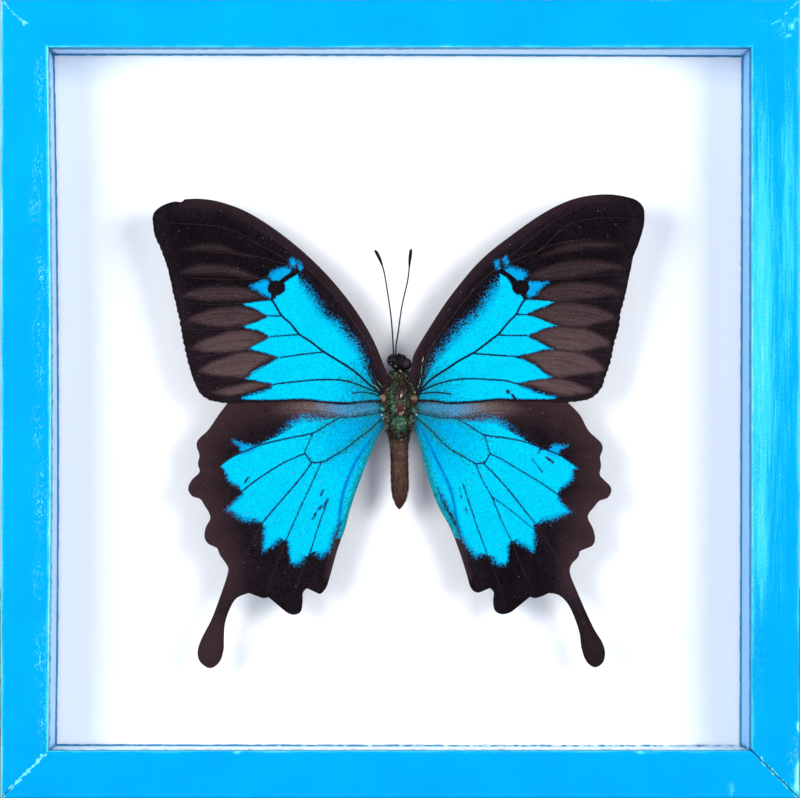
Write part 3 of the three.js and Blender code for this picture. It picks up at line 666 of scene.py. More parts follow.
def membrane(front, rear, outer, columns):
    """Straight ribs from the front side to the rear side; near the last rib they take on the
    shape of the outer edge, by the cube of the share of the way."""
    across = np.linspace(0, 1, columns + 1)[None, :, None]
    flat = (1 - across) * front[:, None] + across * rear[:, None]
    if outer is not None:
        gain = np.linspace(0, 1, len(front))[:, None, None] ** 3
        flat = flat + gain * (even(outer, columns + 1) - flat[-1])
    return flat


def to_line(spots, line):
    """Distance from each spot to the nearest point of a line."""
    nearest = np.full(len(spots), np.inf)
    for a, b in zip(line[:-1], line[1:]):
        step = b - a
        share = np.clip(((spots - a) @ step) / max(step @ step, 1e-9), 0, 1)
        gap = spots - a - share[:, None] * step
        nearest = np.minimum(nearest, np.hypot(gap[:, 0], gap[:, 1]))
    return nearest


def patch(spots, stretches):
    """Distance inside a closed patch, negative outside, and the dusting width of its nearest
    side. The patch is a chain of smooth stretches, each with its own dusting in mm."""
    depth = np.full(len(spots), np.inf)
    dusting = np.zeros(len(spots))
    inside = np.zeros(len(spots), bool)
    for dust, marks in stretches:
        line = smooth(chart(marks), 3)
        away = to_line(spots, line)
        dusting = np.where(away < depth, dust, dusting)
        depth = np.minimum(depth, away)
        for (x0, z0), (x1, z1) in zip(line[:-1], line[1:]):
            if z0 != z1:
                side = (spots[:, 1] < z0) != (spots[:, 1] < z1)
                inside ^= side & (spots[:, 0] < x0 + (spots[:, 1] - z0) * (x1 - x0) / (z1 - z0))
    return np.where(inside, depth, -depth), dusting


def tube(path, radii, sides, aside, flatten=1.0):
    """A round limb: circles of the given radii in the plane across the path, closed at the ends.
    aside is a direction that the path never takes; flatten squeezes the limb along it."""
    path = np.asarray(path, float)
    radii = np.broadcast_to(radii, len(path))[:, None, None]
    ahead = np.gradient(path, axis=0)
    ahead /= np.linalg.norm(ahead, axis=1, keepdims=True)
    first = np.cross(ahead, aside)
    first /= np.linalg.norm(first, axis=1, keepdims=True)
    second = np.cross(first, ahead)
    angle = np.linspace(0, 2 * np.pi, sides, endpoint=False)[None, :, None]
    rings = path[:, None] + radii * (np.cos(angle) * first[:, None]
                                     + flatten * np.sin(angle) * second[:, None])
    return rings.reshape(-1, 3), [face[::-1] for face in bar_faces(len(path), sides)]


def gathered(parts):
    """Joins parts (points, faces, material number, attribute rows) into one set of arrays."""
    points, faces, numbers, rows, start = [], [], [], [], 0
    for part_points, part_faces, number, part_rows in parts:
        points.append(part_points)
        rows.append(np.broadcast_to(part_rows, (len(part_points), np.shape(part_rows)[-1])))
        faces.extend([np.asarray(face) + start for face in part_faces])
        numbers.extend([number] * len(part_faces))
        start += len(part_points)
    return np.vstack(points), faces, numbers, np.vstack(rows)


# Outlines, each a chain of smooth stretches that meet at corners.
FOREWING_LEFT = (
    ((-1, 1.7), (-3.1, 6.9), (-5.9, 13.5), (-10.5, 20.8), (-16.9, 28.3), (-24.5, 35), (-32, 40),
     (-38, 42.4), (-42.6, 43.2), (-46.2, 43.1)),
    ((-46.2, 43.1), (-46.9, 42.5), (-48.4, 42.6), (-50.8, 41.8), (-52.6, 40.4), (-53.1, 38.8)),
    ((-53.1, 38.8), (-52.7, 35.4), (-51.4, 32.3), (-49.9, 28), (-48.8, 23.1), (-47.5, 17.5),
     (-46.7, 13.1), (-45.8, 9.1), (-44.8, 5.4), (-43.2, 1.7), (-41.3, 0), (-39.1, -0.6),
     (-37, -0.8)),
    ((-37, -0.8), (-32, -0.5), (-26.6, -0.4), (-20.8, -0.1), (-16.5, -0.6), (-11.5, -1),
     (-7.9, -0.5), (-4.4, -0.3), (-1, -0.6)),
)
FOREWING_RIGHT = (
    ((1, 1.7), (2.6, 7.1), (3.3, 10.1), (6.8, 16), (11.1, 22.4), (17.6, 30.1), (25.1, 36.1),
     (31.6, 40.5), (37, 43), (41.7, 44), (46, 44.1), (49.7, 43.4), (51.4, 42.6), (52.5, 41.2),
     (52.7, 39.4), (52.5, 37.1), (51.6, 34.7)),
    ((51.6, 34.7), (51.1, 32.6), (49.9, 29.5), (49.3, 25.7), (48.6, 22.2), (47.6, 18.3),
     (47.3, 15.5), (46.3, 11.9), (45.6, 8.4), (44.3, 4.5), (43.4, 2.2), (41.3, 0.2), (38.7, -0.4),
     (36.3, -0.6)),
    ((36.3, -0.6), (30.5, -0.3), (24, -0.2), (21.2, -0.1), (16.5, -0.6), (11.1, -0.9), (7.9, -0.5),
     (4.6, -0.2), (1, -0.6)),
)
HINDWING_LEFT = (
    ((-1, -2.2), (-3.3, -0.2), (-12.6, 1.9), (-23.4, 2.6), (-30.9, 1.9), (-34.6, 0.9), (-37, -0.8)),
    ((-37, -0.8), (-38.9, -3.3), (-41.1, -6.5), (-43.1, -8.4), (-43.6, -9.9), (-43, -11.9),
     (-43.3, -13.8), (-43, -15.6), (-44.6, -17.2), (-45.4, -19.1), (-44.6, -20.7), (-42.8, -21.4),
     (-41.8, -22.9), (-40.9, -24.4), (-40.7, -25.7), (-41.6, -27.4), (-41.9, -29.5), (-41.1, -31),
     (-39.3, -31.8), (-38.6, -33.4), (-37.2, -35.4), (-36.8, -36.6), (-37.3, -38.8)),
    ((-37.3, -38.8), (-38.6, -42.5), (-40.4, -47.2), (-42.6, -51.5), (-43.4, -54.3), (-42.8, -56.5),
     (-40.7, -57.8), (-38.7, -56.5), (-37.8, -53.9), (-37.7, -51.3), (-37.5, -48.3), (-36.5, -45.1),
     (-35, -42.7), (-32.4, -41.6)),
    ((-32.4, -41.6), (-30.5, -42.3), (-29.2, -42.7), (-27.7, -42.6), (-25.8, -44), (-24.5, -45.6),
     (-22.7, -46.3), (-21.2, -45.6), (-20.8, -43.5), (-20.7, -41.5), (-19.5, -40.5), (-18.2, -41.2),
     (-17, -41.8), (-15.7, -40.4), (-14.8, -37.7)),
    ((-14.8, -37.7), (-13.3, -32.3), (-11.5, -27.3), (-10.5, -23.4), (-8.2, -16.8), (-5.9, -11),
     (-4, -7.1), (-1, -4.3)),
)
HINDWING_RIGHT = (
    ((1, -2.2), (3.3, -0.2), (12.6, 1.9), (23, 2.6), (30.5, 1.9), (34.2, 0.9), (36.3, -0.6)),
    ((36.3, -0.6), (38.8, -3.2), (40.6, -6.5), (42.1, -8), (43.5, -9.4), (43.7, -10.8),
     (43.2, -12.3), (43.4, -14.2), (43.1, -16), (43.9, -17.1), (45.3, -18.5), (45.6, -19.7),
     (44.8, -21.1), (43, -21.8), (41.9, -23.1), (40.7, -24.6), (40.7, -25.8), (41.7, -27.8),
     (42.1, -30), (41.4, -31.5), (39.1, -32.3), (38.5, -33.8), (37.1, -35.4), (36.7, -36.9),
     (37.2, -38.8)),
    ((37.2, -38.8), (38.5, -41.8), (40.2, -45.7), (42.1, -49.6), (43.7, -52.2), (44.3, -54.5),
     (43.8, -56.6), (42.1, -57.6), (40.3, -56.4), (39.2, -53.5), (38.8, -50.4), (37.8, -47.2),
     (36.3, -44), (34.4, -42.1), (32.2, -41.6)),
    ((32.2, -41.6), (30.7, -42.3), (29.2, -42.7), (27.7, -42.5), (25.4, -43.9), (24.4, -45.5),
     (22.3, -46.2), (20.6, -45.4), (20.2, -43.3), (20.3, -41.4), (19, -40.4), (17.8, -41.3),
     (16.6, -41.5), (15.4, -40.5), (14.6, -37.9)),
    ((14.6, -37.9), (13, -32.8), (11, -27.7), (8.5, -23.1), (6.8, -18.8), (5.2, -12.9),
     (3.6, -7.3), (1, -4.3)),
)

# Blue patches: chains of stretches, each with its dusting width and its marks on the wing chart.
BLUE_FORE_LEFT = (
    (2.2, ((386, 402), (380, 396), (376, 390), (372, 375), (368, 360), (362, 345), (356, 337),
           (350, 331), (343, 322), (337, 317), (330, 313), (325, 307), (321, 300), (316, 292),
           (310, 284), (305, 279), (300, 275), (295, 273.5))),
    (0.3, ((295, 273.5), (290, 276), (285, 279.5), (283, 283), (284, 290), (280, 294), (276, 296),
           (274, 299), (271, 300))),
    (0.3, ((271, 300), (262, 301), (255, 302), (247, 303), (241, 304.5))),
    (0.35, ((241, 304.5), (245, 307), (252, 309), (258, 312), (263, 315), (267, 316.4))),
    (0.35, ((267, 316.4), (262, 319), (255, 322), (248, 324), (241, 327))),
    (0.35, ((241, 327), (246, 329.5), (252, 331), (257, 331.5), (262, 334), (268, 337.3))),
    (0.35, ((268, 337.3), (262, 341), (256, 343.5), (250, 347), (244, 350))),
    (0.35, ((244, 350), (250, 351), (257, 352.5), (264, 354), (270, 356), (277, 357.9))),
    (0.4, ((277, 357.9), (272, 360.5), (266, 364), (260, 367), (254, 370), (249.5, 373),
           (248, 376), (242, 379))),
    (0.35, ((242, 379), (246, 380.5), (252, 381), (258, 382.5), (265, 383.5), (272, 385))),
    (0.7, ((272, 385), (264, 389.5), (258, 391), (250, 393.5), (243, 396), (236, 398.5))),
    (0.3, ((236, 398.5), (250, 400.6), (275, 400.6), (302, 399.6), (322, 401.6), (345, 403),
           (362, 401.6), (378, 400.6), (386, 402))),
)
BLUE_FORE_RIGHT = (
    (2.6, ((412, 402), (418, 396), (420, 388), (421, 378), (424, 370), (425, 363), (428, 358),
           (432, 352), (436, 347), (440, 342), (445, 336), (449, 331), (453, 325), (458, 321),
           (464, 316), (470, 311), (475, 305), (478, 300), (481, 295), (484, 290), (487, 285),
           (491, 280), (495, 276), (500, 273), (503, 275))),
    (0.3, ((503, 275), (507, 279), (510, 283), (512, 288), (513, 291), (516, 293), (519, 294),
           (521, 296), (523, 299), (525, 299.7))),
    (0.3, ((525, 299.7), (535, 300), (545, 300.5), (550, 301), (556, 302.5))),
    (0.35, ((556, 302.5), (550, 305), (544, 308), (537, 310), (531, 313), (526, 315.2))),
    (0.35, ((526, 315.2), (531, 315.8), (538, 318), (545, 321), (552, 324), (559, 326))),
    (0.35, ((559, 326), (552, 328), (545, 329), (540, 331), (533, 334), (528, 336.2))),
    (0.35, ((528, 336.2), (531, 338.5), (537, 341), (543, 344.5), (549, 347.5), (556, 350))),
    (0.35, ((556, 350), (550, 350.5), (543, 351), (536, 352.5), (530, 354.5), (522, 356),
            (515, 357.4))),
    (0.4, ((515, 357.4), (521, 358.5), (527, 361), (533, 364), (538, 367.5), (542, 371),
           (546, 374.5), (553, 377))),
    (0.35, ((553, 377), (549, 379), (540, 380), (530, 381.5), (521, 383.5), (515, 384.3))),
    (0.7, ((515, 384.3), (521, 385), (527, 387), (533, 390), (540, 392), (547, 394), (558, 397))),
    (0.3, ((558, 397), (552, 399.7), (540, 400), (510, 399.8), (497, 399.3), (475, 401.5),
           (450, 402.8), (435, 401.3), (420, 400), (412, 402))),
)
BLUE_HIND_LEFT = (
    (0.6, ((392, 412), (375, 412), (362, 415), (345, 417))),
    (2.2, ((345, 417), (330, 416), (320, 414.5), (310, 413.5), (302, 413), (296, 414.5),
           (290, 418), (285, 423), (281, 428), (276, 433), (268, 437.5), (258, 444), (250, 447.5))),
    (0.3, ((250, 447.5), (243, 452), (232, 457), (225, 461.5), (220, 466), (217.5, 467))),
    (0.55, ((217.5, 467), (222, 470), (224, 474), (225, 480), (228, 484), (233, 487), (238, 490),
            (241, 493))),
    (0.5, ((241, 493), (234, 499), (229, 504), (223, 510))),
    (0.8, ((223, 510), (227, 513), (233, 517), (238, 521), (243, 523.5), (248, 524), (254, 523.5),
           (261.5, 524.5))),
    (0.6, ((261.5, 524.5), (261, 534), (260.5, 540), (260.5, 547), (261.5, 554))),
    (0.7, ((261.5, 554), (265, 553), (270, 551), (275, 547), (280, 543), (285.5, 541))),
    (0.4, ((285.5, 541), (286.5, 545), (287, 552), (287.5, 558), (289, 565))),
    (0.8, ((289, 565), (294, 567), (300, 566.5), (304, 564), (306, 560), (309, 554))),
    (0.8, ((309, 554), (313, 555), (317, 559), (320, 559.5), (325, 557), (330, 555), (332, 551))),
    (0.7, ((332, 551), (335, 540), (339, 530), (344, 523))),
    (0.35, ((344, 523), (349.5, 507), (359.5, 477), (370, 450.5), (379, 432), (392, 412))),
)
BLUE_HIND_RIGHT = (
    (0.6, ((408, 412), (425, 413), (440, 416), (458, 418))),
    (2.2, ((458, 418), (470, 417), (480, 415), (490, 414), (497, 415), (502, 418), (508, 422),
           (513, 427), (518, 432), (523, 436), (528, 441), (534, 445), (540, 448.5))),
    (0.3, ((540, 448.5), (556, 454), (566, 460), (574, 466), (579, 469))),
    (0.55, ((579, 469), (573, 471), (574, 475), (573, 480), (570, 484), (566, 487), (562, 490),
            (559, 493), (558, 496), (560, 498))),
    (0.5, ((560, 498), (564, 504), (568, 508), (571, 511), (572, 514))),
    (0.8, ((572, 514), (567, 516), (561, 519), (556, 521), (549, 523), (542, 524), (534, 525.5))),
    (0.6, ((534, 525.5), (535, 530), (536.5, 537), (536, 545), (534, 553))),
    (0.7, ((534, 553), (531, 554), (526, 551), (521, 548), (516, 545), (511, 542))),
    (0.4, ((511, 542), (509, 547), (509, 555), (508.5, 562), (505, 567))),
    (0.8, ((505, 567), (498, 568), (493, 566), (490, 562), (487, 556))),
    (0.8, ((487, 556), (480, 558), (474, 560), (469, 556), (465, 551), (462, 546))),
    (0.7, ((462, 546), (459, 540), (453, 525), (447, 513), (440, 500), (433, 488))),
    (0.35, ((433, 488), (424, 460), (416.5, 434), (408, 412))),
)

# Dusty flecks of blue that stand apart from the patches, each a ring of marks.
FLECKS_FORE_LEFT = (
    (1.0, ((270, 273), (280, 268), (289, 268), (290, 275), (283, 280), (272, 281), (268, 277),
            (270, 273))),
    (0.9, ((289, 260), (293, 258), (296, 263), (295, 268), (290, 267), (289, 260))),
    (0.9, ((298, 262), (301, 263), (302, 268), (299, 271), (297, 267), (298, 262))),
    (0.8, ((249, 286), (256, 283.5), (262, 281), (268, 281), (267, 287), (269, 293), (271, 298),
           (262, 295), (252, 289), (249, 286))),
)
FLECKS_FORE_RIGHT = (
    (1.0, ((504, 270), (509, 267), (514, 268), (520, 270), (526, 273), (526, 277), (522, 280),
            (516, 280), (511, 277), (507, 274), (504, 270))),
    (0.9, ((493, 262), (497, 260), (499, 265), (498, 270), (494, 268), (493, 262))),
    (0.9, ((502, 259), (506, 257), (508, 262), (507, 267), (503, 265), (502, 259))),
    (0.8, ((528, 282), (535, 282), (541, 283), (547, 283), (541, 288), (537, 292), (533, 297),
           (528, 298), (526, 294), (528, 289), (528, 282))),
)
FLECKS_HIND_LEFT = (
    (0.9, ((231, 441), (236, 441), (242, 443), (250, 445), (254, 447), (248, 450), (241, 452),
           (238, 447), (231, 441))),
)
FLECKS_HIND_RIGHT = (
    (0.9, ((549, 449), (551, 445), (556, 444), (563, 445), (567, 446), (560, 450), (557, 454),
           (550, 452), (549, 449))),
)

# Black marks over the blue, such as the round spot of each forewing: half width in mm and a line.
SPOTS_FORE_LEFT = (
    (1.45, ((274.3, 288.5), (276.7, 288.5))),
    (0.42, ((297, 272), (288, 277), (283, 281), (279, 285))), (0.25, ((274, 293), (271, 300))),
)
SPOTS_FORE_RIGHT = (
    (1.5, ((518.7, 288), (520.8, 288))), (0.42, ((500, 272), (507, 276), (512, 280), (516, 285))),
    (0.25, ((522, 292), (524, 300))), (0.3, ((507, 391.8), (507.2, 392.2))),
    (0.16, ((511, 395), (515, 400))),
)
SPOTS_HIND_LEFT = (
    (0.1, ((322.5, 490.7), (320.2, 495.5))), (0, ((326.7, 498.6), (324.5, 503), (323.2, 507.5))),
    (0.06, ((321, 505.5), (319.5, 509))), (0, ((318, 508), (315.5, 513))),
    (0.08, ((315.3, 513.5), (312.2, 519))), (0.08, ((248, 477.5), (244, 483))),
)
SPOTS_HIND_RIGHT = (
    (0.03, ((531, 459), (541, 472))), (0.12, ((545, 457.5), (552, 462.5))),
    (-0.03, ((459, 488), (460.7, 499))), (-0.04, ((463.5, 486), (465.5, 496))),
    (0, ((464.6, 507), (465.8, 512.5))),
)

# Pale worn lenses between the veins of the forewings' black margin, and their strength by height.
LENS_HEIGHTS = (4, 10, 18, 23, 34)
LENS_STRENGTHS = (1.0, 0.95, 0.6, 0.42, 0.22)
LENSES_LEFT = (
    ((177.5, 250.4), (201.3, 244.3), (221, 245), (237.8, 251.8), (257.5, 258.8), (237.8, 256),
     (215.4, 251.8), (194.3, 252.5), (177.5, 250.4)),
    ((178.2, 274.2), (187.3, 267.9), (204.1, 264.4), (221, 264.4), (237.8, 267.9), (254.7, 275.6),
     (260.3, 279.8), (246.2, 279.8), (226.6, 276.3), (204.1, 275.6), (187.3, 275.9),
     (178.2, 274.2)),
    ((180.3, 298.1), (190.1, 291), (206.9, 286.8), (226.6, 286.1), (246.2, 288.2), (260.3, 295.3),
     (265.9, 298.8), (251.9, 300.9), (232.2, 302.3), (209.8, 302.3), (192.9, 300.2),
     (180.3, 298.1)),
    ((184.8, 322.6), (194.3, 314.9), (211.2, 309.3), (229.4, 306.5), (244.8, 306.5), (254.7, 310),
     (267.3, 315.6), (254.7, 321.9), (244.8, 326.1), (226.6, 328.2), (208.4, 326.8), (194.3, 324),
     (184.8, 322.6)),
    ((188.7, 350), (199.9, 341.6), (215.4, 335.3), (232.2, 330.4), (246.2, 329.6), (260.3, 333.9),
     (270.1, 337.4), (258.9, 343), (246.2, 350), (232.2, 352.8), (215.4, 353.5), (199.9, 352.1),
     (188.7, 350)),
    ((196.4, 372.5), (206.9, 364), (221, 358.4), (235, 353.5), (249.1, 351.4), (264.5, 354.2),
     (276.4, 357.7), (264.5, 362.6), (251.9, 371.1), (244.8, 378.1), (229.4, 378.1), (211.2, 376),
     (196.4, 372.5)),
    ((210.5, 392.8), (223.8, 387.9), (237.8, 384.4), (251.9, 381.6), (264.5, 383), (274.3, 384.8),
     (260.3, 389.3), (246.2, 393.5), (232.2, 396.3), (218.2, 395.6), (210.5, 392.8)),
)
LENSES_RIGHT = (
    ((540.1, 257.3), (561.1, 246.1), (583.5, 241.9), (603.2, 242.6), (621.4, 246.8), (594.8, 248.2),
     (568.1, 251.7), (540.1, 257.3)),
    ((528.1, 277), (544.3, 268.6), (563.9, 262.9), (586.4, 261.3), (603.2, 262.9), (622.8, 268.6),
     (606, 270.7), (589.2, 274.2), (565.3, 277.7), (544.3, 279.8), (528.1, 277)),
    ((533.8, 296.6), (547.1, 288.2), (565.3, 283.7), (586.4, 283.7), (603.2, 286.8), (618.6, 293.1),
     (603.2, 295.9), (586.4, 298.7), (568.1, 300.8), (549.9, 300.8), (533.8, 296.6)),
    ((529.5, 314.1), (542.9, 309.2), (555.5, 304.3), (570.9, 303.6), (587.8, 306.4), (601.8, 311.3),
     (613.7, 317.6), (601.8, 321.9), (587.8, 325.4), (572.3, 326.8), (556.9, 324), (542.9, 319),
     (529.5, 314.1)),
    ((528.1, 335.9), (542.9, 331), (556.9, 327.5), (572.3, 328.2), (586.4, 330.3), (599, 336.6),
     (608.1, 344.3), (594.8, 347.8), (580.7, 351.3), (566.7, 351.3), (554.1, 348.5), (541.5, 341.5),
     (528.1, 335.9)),
    ((521.1, 356.9), (537.3, 353.4), (554.1, 350.6), (570.9, 352), (586.4, 356.9), (603.2, 369.5),
     (587.8, 373.1), (570.9, 375.2), (556.9, 377.3), (544.3, 371), (533.1, 361.1), (521.1, 356.9)),
    ((520.4, 384.3), (537.3, 380.8), (552.7, 379.4), (568.1, 382.2), (589.2, 390.6), (577.9, 394.1),
     (561.1, 395.5), (544.3, 390.6), (531.7, 386.4), (520.4, 384.3)),
)

# Veins that show dark on the blue: radii at both ends in mm, and marks along the vein.
DARK_VEINS_FORE_LEFT = (
    (0.3, 0.17, ((384, 397), (378, 391), (370, 386), (360, 377), (350, 369), (336, 360),
                 (322, 351.5), (310, 342), (299, 335), (290, 324), (281, 316), (275, 306),
                 (271, 299))),
    (0.14, 0.1, ((281, 316.5), (274, 316.6), (267, 316.3))),
    (0.14, 0.1, ((299, 335), (285, 336), (270, 337))),
    (0.14, 0.1, ((322, 352.5), (300, 355), (280, 358))),
    (0.2, 0.1, ((384, 398), (378, 393), (368, 389.5), (352, 383), (340, 380.5), (320, 380),
                (300, 381.5), (285, 383), (272, 385))),
    (0.14, 0.08, ((382, 398), (372, 394), (362, 392.5), (352, 393.5))),
)
DARK_VEINS_FORE_RIGHT = (
    (0.3, 0.17, ((414, 397), (420, 390), (430, 380), (440, 373), (450, 366.5), (460, 360),
                 (473, 353), (485, 344), (497, 335), (503, 328), (509, 321), (515, 315), (519, 307),
                 (524, 299))),
    (0.14, 0.1, ((515, 315), (520, 315.2), (526, 315))),
    (0.14, 0.1, ((497, 335.5), (512, 336), (526, 336))),
    (0.14, 0.1, ((474, 354), (500, 356), (520, 357))),
    (0.2, 0.1, ((414, 398), (422, 391), (432, 386), (441, 383), (455, 380), (470, 379), (490, 380),
                (505, 381), (515, 384), (521, 384))),
    (0.14, 0.08, ((414, 398), (421, 394), (430, 393), (440, 393), (450, 394.5))),
)
DARK_VEINS_HIND_LEFT = (
    (0.16, 0.12, ((388, 412), (378, 413), (362, 416), (345, 418), (339, 418), (325, 426),
                  (312, 433.5), (290, 438), (262, 444.5), (243, 452), (232, 457), (222, 464))),
    (0.09, 0.07, ((312, 434), (309, 441), (305, 450), (304.5, 453.5))),
    (0.13, 0.12, ((304.5, 453.5), (285, 462), (268, 472), (252, 483), (240, 493))),
    (0.15, 0.2, ((304.5, 453.5), (309, 460), (311.5, 462.5), (320, 462.5))),
    (0.16, 0.14, ((311, 463), (304, 473), (295, 484), (283, 498), (270, 513), (262, 523))),
    (0.1, 0.18, ((388, 414), (379, 421), (368, 431), (355, 441), (345, 449), (335, 455), (325, 461),
                 (320, 462.5))),
    (0.1, 0.1, ((320, 464), (315, 475), (309, 488), (302, 503), (297, 514), (290, 530),
                (285, 541))),
    (0.1, 0.1, ((328, 499), (322, 514), (316, 532), (311, 548), (308, 556))),
)
DARK_VEINS_HIND_RIGHT = (
    (0.16, 0.12, ((412, 412), (425, 415), (440, 418), (456, 419), (470, 427), (483, 435),
                  (500, 437.5), (520, 441), (540, 448), (556, 454), (566, 460), (576, 467))),
    (0.09, 0.07, ((483, 435), (486, 443), (489, 454))),
    (0.13, 0.12, ((489, 454), (500, 459), (520, 471), (540, 483), (560, 497))),
    (0.15, 0.18, ((489, 454), (484, 462), (475, 464))),
    (0.16, 0.14, ((483, 464), (495, 476), (510, 493), (525, 512), (534, 523))),
    (0.1, 0.08, ((475, 464), (477, 470), (483, 483), (490, 495), (497, 512), (504, 528),
                 (511, 542))),
    (0.08, 0.07, ((490, 496), (504, 506), (518, 517), (531, 528))),
    (0.1, 0.18, ((412, 415), (418, 420), (430, 430), (440, 441), (452, 451), (463, 457),
                 (475, 464))),
    (0.1, 0.1, ((462, 484), (465, 493), (470, 508), (474, 520), (480, 537), (487, 556))),
)

# Veins that show faintly light in the black of the wings.
PALE_VEINS_FORE_LEFT = (
    (0.14, 0.08, ((376, 368), (368, 345), (358, 330), (350, 318), (341, 305), (330, 291),
                  (318, 280), (300, 262), (275, 240), (250, 225), (232, 213))),
    (0.1, 0.07, ((300, 268), (283, 264.5), (260, 258), (238, 255), (205, 252))),
    (0.1, 0.06, ((290, 262), (260, 246), (243, 236), (226, 229), (208, 226), (170, 224))),
    (0.1, 0.06, ((268, 277), (246, 280.5), (226, 280), (190, 279))),
    (0.1, 0.06, ((270, 300), (240, 304), (210, 305), (186, 304))),
    (0.1, 0.06, ((268, 316), (240, 328), (215, 330), (186, 330))),
    (0.1, 0.06, ((268, 337), (244, 351), (220, 355), (192, 358))),
    (0.1, 0.06, ((278, 358), (245, 378), (225, 381), (200, 385))),
)
PALE_VEINS_FORE_RIGHT = (
    (0.14, 0.08, ((421, 368), (432, 345), (446, 325), (462, 303), (480, 283), (503, 262),
                  (530, 240), (552, 222), (580, 208))),
    (0.1, 0.07, ((500, 268), (513, 261.5), (540, 250), (561, 243), (590, 240))),
    (0.1, 0.06, ((530, 258), (544, 246), (566, 226), (592, 219.5), (621, 218.8), (636, 221.6))),
    (0.1, 0.06, ((530, 281), (560, 280), (590, 277), (620, 275))),
    (0.1, 0.06, ((524, 299), (556, 302), (590, 302), (618, 302))),
    (0.1, 0.06, ((528, 315), (559, 326), (590, 328), (614, 330))),
    (0.1, 0.06, ((528, 336), (556, 350), (585, 354), (608, 356))),
    (0.1, 0.06, ((520, 357), (553, 377), (575, 380), (600, 384))),
)
PALE_VEINS_HIND_LEFT = (
    (0.1, 0.08, ((345, 417), (320, 411.5), (290, 411), (260, 415), (240, 420), (222, 424))),
    (0.08, 0.06, ((243, 452), (225, 455), (203, 460))),
    (0.08, 0.06, ((222, 465), (208, 476), (196, 486))),
    (0.08, 0.06, ((240, 493), (228, 508), (212, 530))),
    (0.12, 0.07, ((262, 523), (250, 545), (240, 562), (230, 584), (220, 608), (212, 632),
                  (208, 650))),
    (0.1, 0.06, ((285, 541), (280, 555), (273, 572), (266, 592))),
    (0.09, 0.06, ((308, 556), (300, 575), (294, 594), (292, 608))),
)
PALE_VEINS_HIND_RIGHT = (
    (0.1, 0.08, ((458, 418), (480, 412), (500, 411), (525, 414), (550, 421), (575, 430))),
    (0.08, 0.06, ((556, 454), (575, 456), (594, 460))),
    (0.08, 0.06, ((577, 467), (590, 477), (604, 488))),
    (0.08, 0.06, ((560, 497), (572, 512), (588, 530))),
    (0.12, 0.07, ((534, 523), (548, 545), (560, 566), (570, 588), (580, 612), (589, 636),
                  (594, 652))),
    (0.1, 0.06, ((511, 542), (518, 560), (526, 578), (533, 594))),
    (0.09, 0.06, ((487, 556), (494, 572), (500, 590), (505, 606))),
)

# The dark fold of each hindwing and the dusty lilac strip beside its front vein.
FOLD_LEFT = ((382, 422), (378, 428), (366, 445), (355, 462), (346, 482), (341, 500), (338, 525),
             (334, 545))
FOLD_RIGHT = ((416, 421), (420, 427), (430, 447), (440, 468), (448, 485), (452, 498), (455, 515),
              (459, 535), (463, 545))
LILAC_LEFT = ((380, 403), (350, 402), (310, 402), (275, 404), (262, 412), (285, 414), (310, 413),
              (332, 415), (346, 417), (362, 414.5), (384, 411), (380, 403))
LILAC_RIGHT = ((418, 403), (445, 402), (485, 402), (515, 404), (528, 412), (510, 414), (480, 414),
               (470, 415), (456, 417.5), (440, 415), (416, 411), (418, 403))


def forewing_depth(x, z):
    """The forewing's middle surface: it rises to the glass outwards, and its tip curls back."""
    return 12.6 - 0.03 * np.abs(x) + 0.0006 * (z - 15) ** 2


def hindwing_depth(x, z):
    """The hindwing's middle surface, which dips behind the forewing beside the body."""
    return (13.3 - 0.03 * np.abs(x) + 0.0004 * (z + 20) ** 2
            + 0.02 * np.maximum(0, 8 - np.abs(x)) ** 2)


def wing_sheet(flat, depth, veins):
    """The membrane as a closed thin sheet: it swells forwards between the veins, and its
    thickness falls to the edge value over the outer three cells."""
    rows, columns = flat.shape[:2]
    spots = flat.reshape(-1, 2)
    away = np.full(len(spots), 9.0)
    for _, _, marks in veins:
        away = np.minimum(away, to_line(spots, smooth(chart(marks), 2)))
    row, column = np.indices((rows, columns))
    inset = np.minimum(np.minimum(row, rows - 1 - row), np.minimum(column, columns - 1 - column))
    thick = MEMBRANE_EDGE + (MEMBRANE - MEMBRANE_EDGE) * np.clip(inset / 3, 0, 1).ravel()
    x, height = spots.T
    middle = depth(x, height) - MEMBRANE_SWELL * (1 - np.exp(-(away / SWELL_REACH) ** 2))
    top = placed(x, middle - thick / 2, height)
    bottom = placed(x, middle + thick / 2, height)
    cells = quad_grid(rows, columns)
    row, column = rows // 2, columns // 2
    across = flat[row, column + 1] - flat[row, column]
    down = flat[row + 1, column] - flat[row, column]
    turned = across[0] * down[1] - across[1] * down[0] < 0
    around = np.concatenate([np.arange(columns), (np.arange(1, rows) + 1) * columns - 1,
                             rows * columns - 2 - np.arange(columns - 1),
                             (rows - 2 - np.arange(rows - 2)) * columns])
    ahead = np.roll(around, -1)
    count = len(spots)
    wall = np.stack([ahead, around, around + count, ahead + count], -1)
    front, back = cells, cells[:, ::-1] + count
    if turned:
        front, back, wall = front[:, ::-1], back[:, ::-1], wall[:, ::-1]
    numbers = np.concatenate([np.zeros(len(front)), np.ones(len(back)), np.ones(len(wall))])
    return spots, np.vstack([top, bottom]), np.vstack([front, back, wall]), numbers


def vein_tube(start, end, marks, depth):
    """A vein: a flattened tube along a smooth line, set in the membrane with its front proud."""
    line = smooth(chart(marks), 6)
    length = np.linalg.norm(np.diff(line, axis=0), axis=1).sum()
    x, z = even(line, max(4, int(length / VEIN_STEP))).T
    path = np.stack([x, depth(x, z) - VEIN_PROUD, z], 1)
    points, faces = tube(path, np.linspace(start, end, len(path)), 6, (0, 1, 0), VEIN_FLATNESS)
    return placed(*points.T), faces


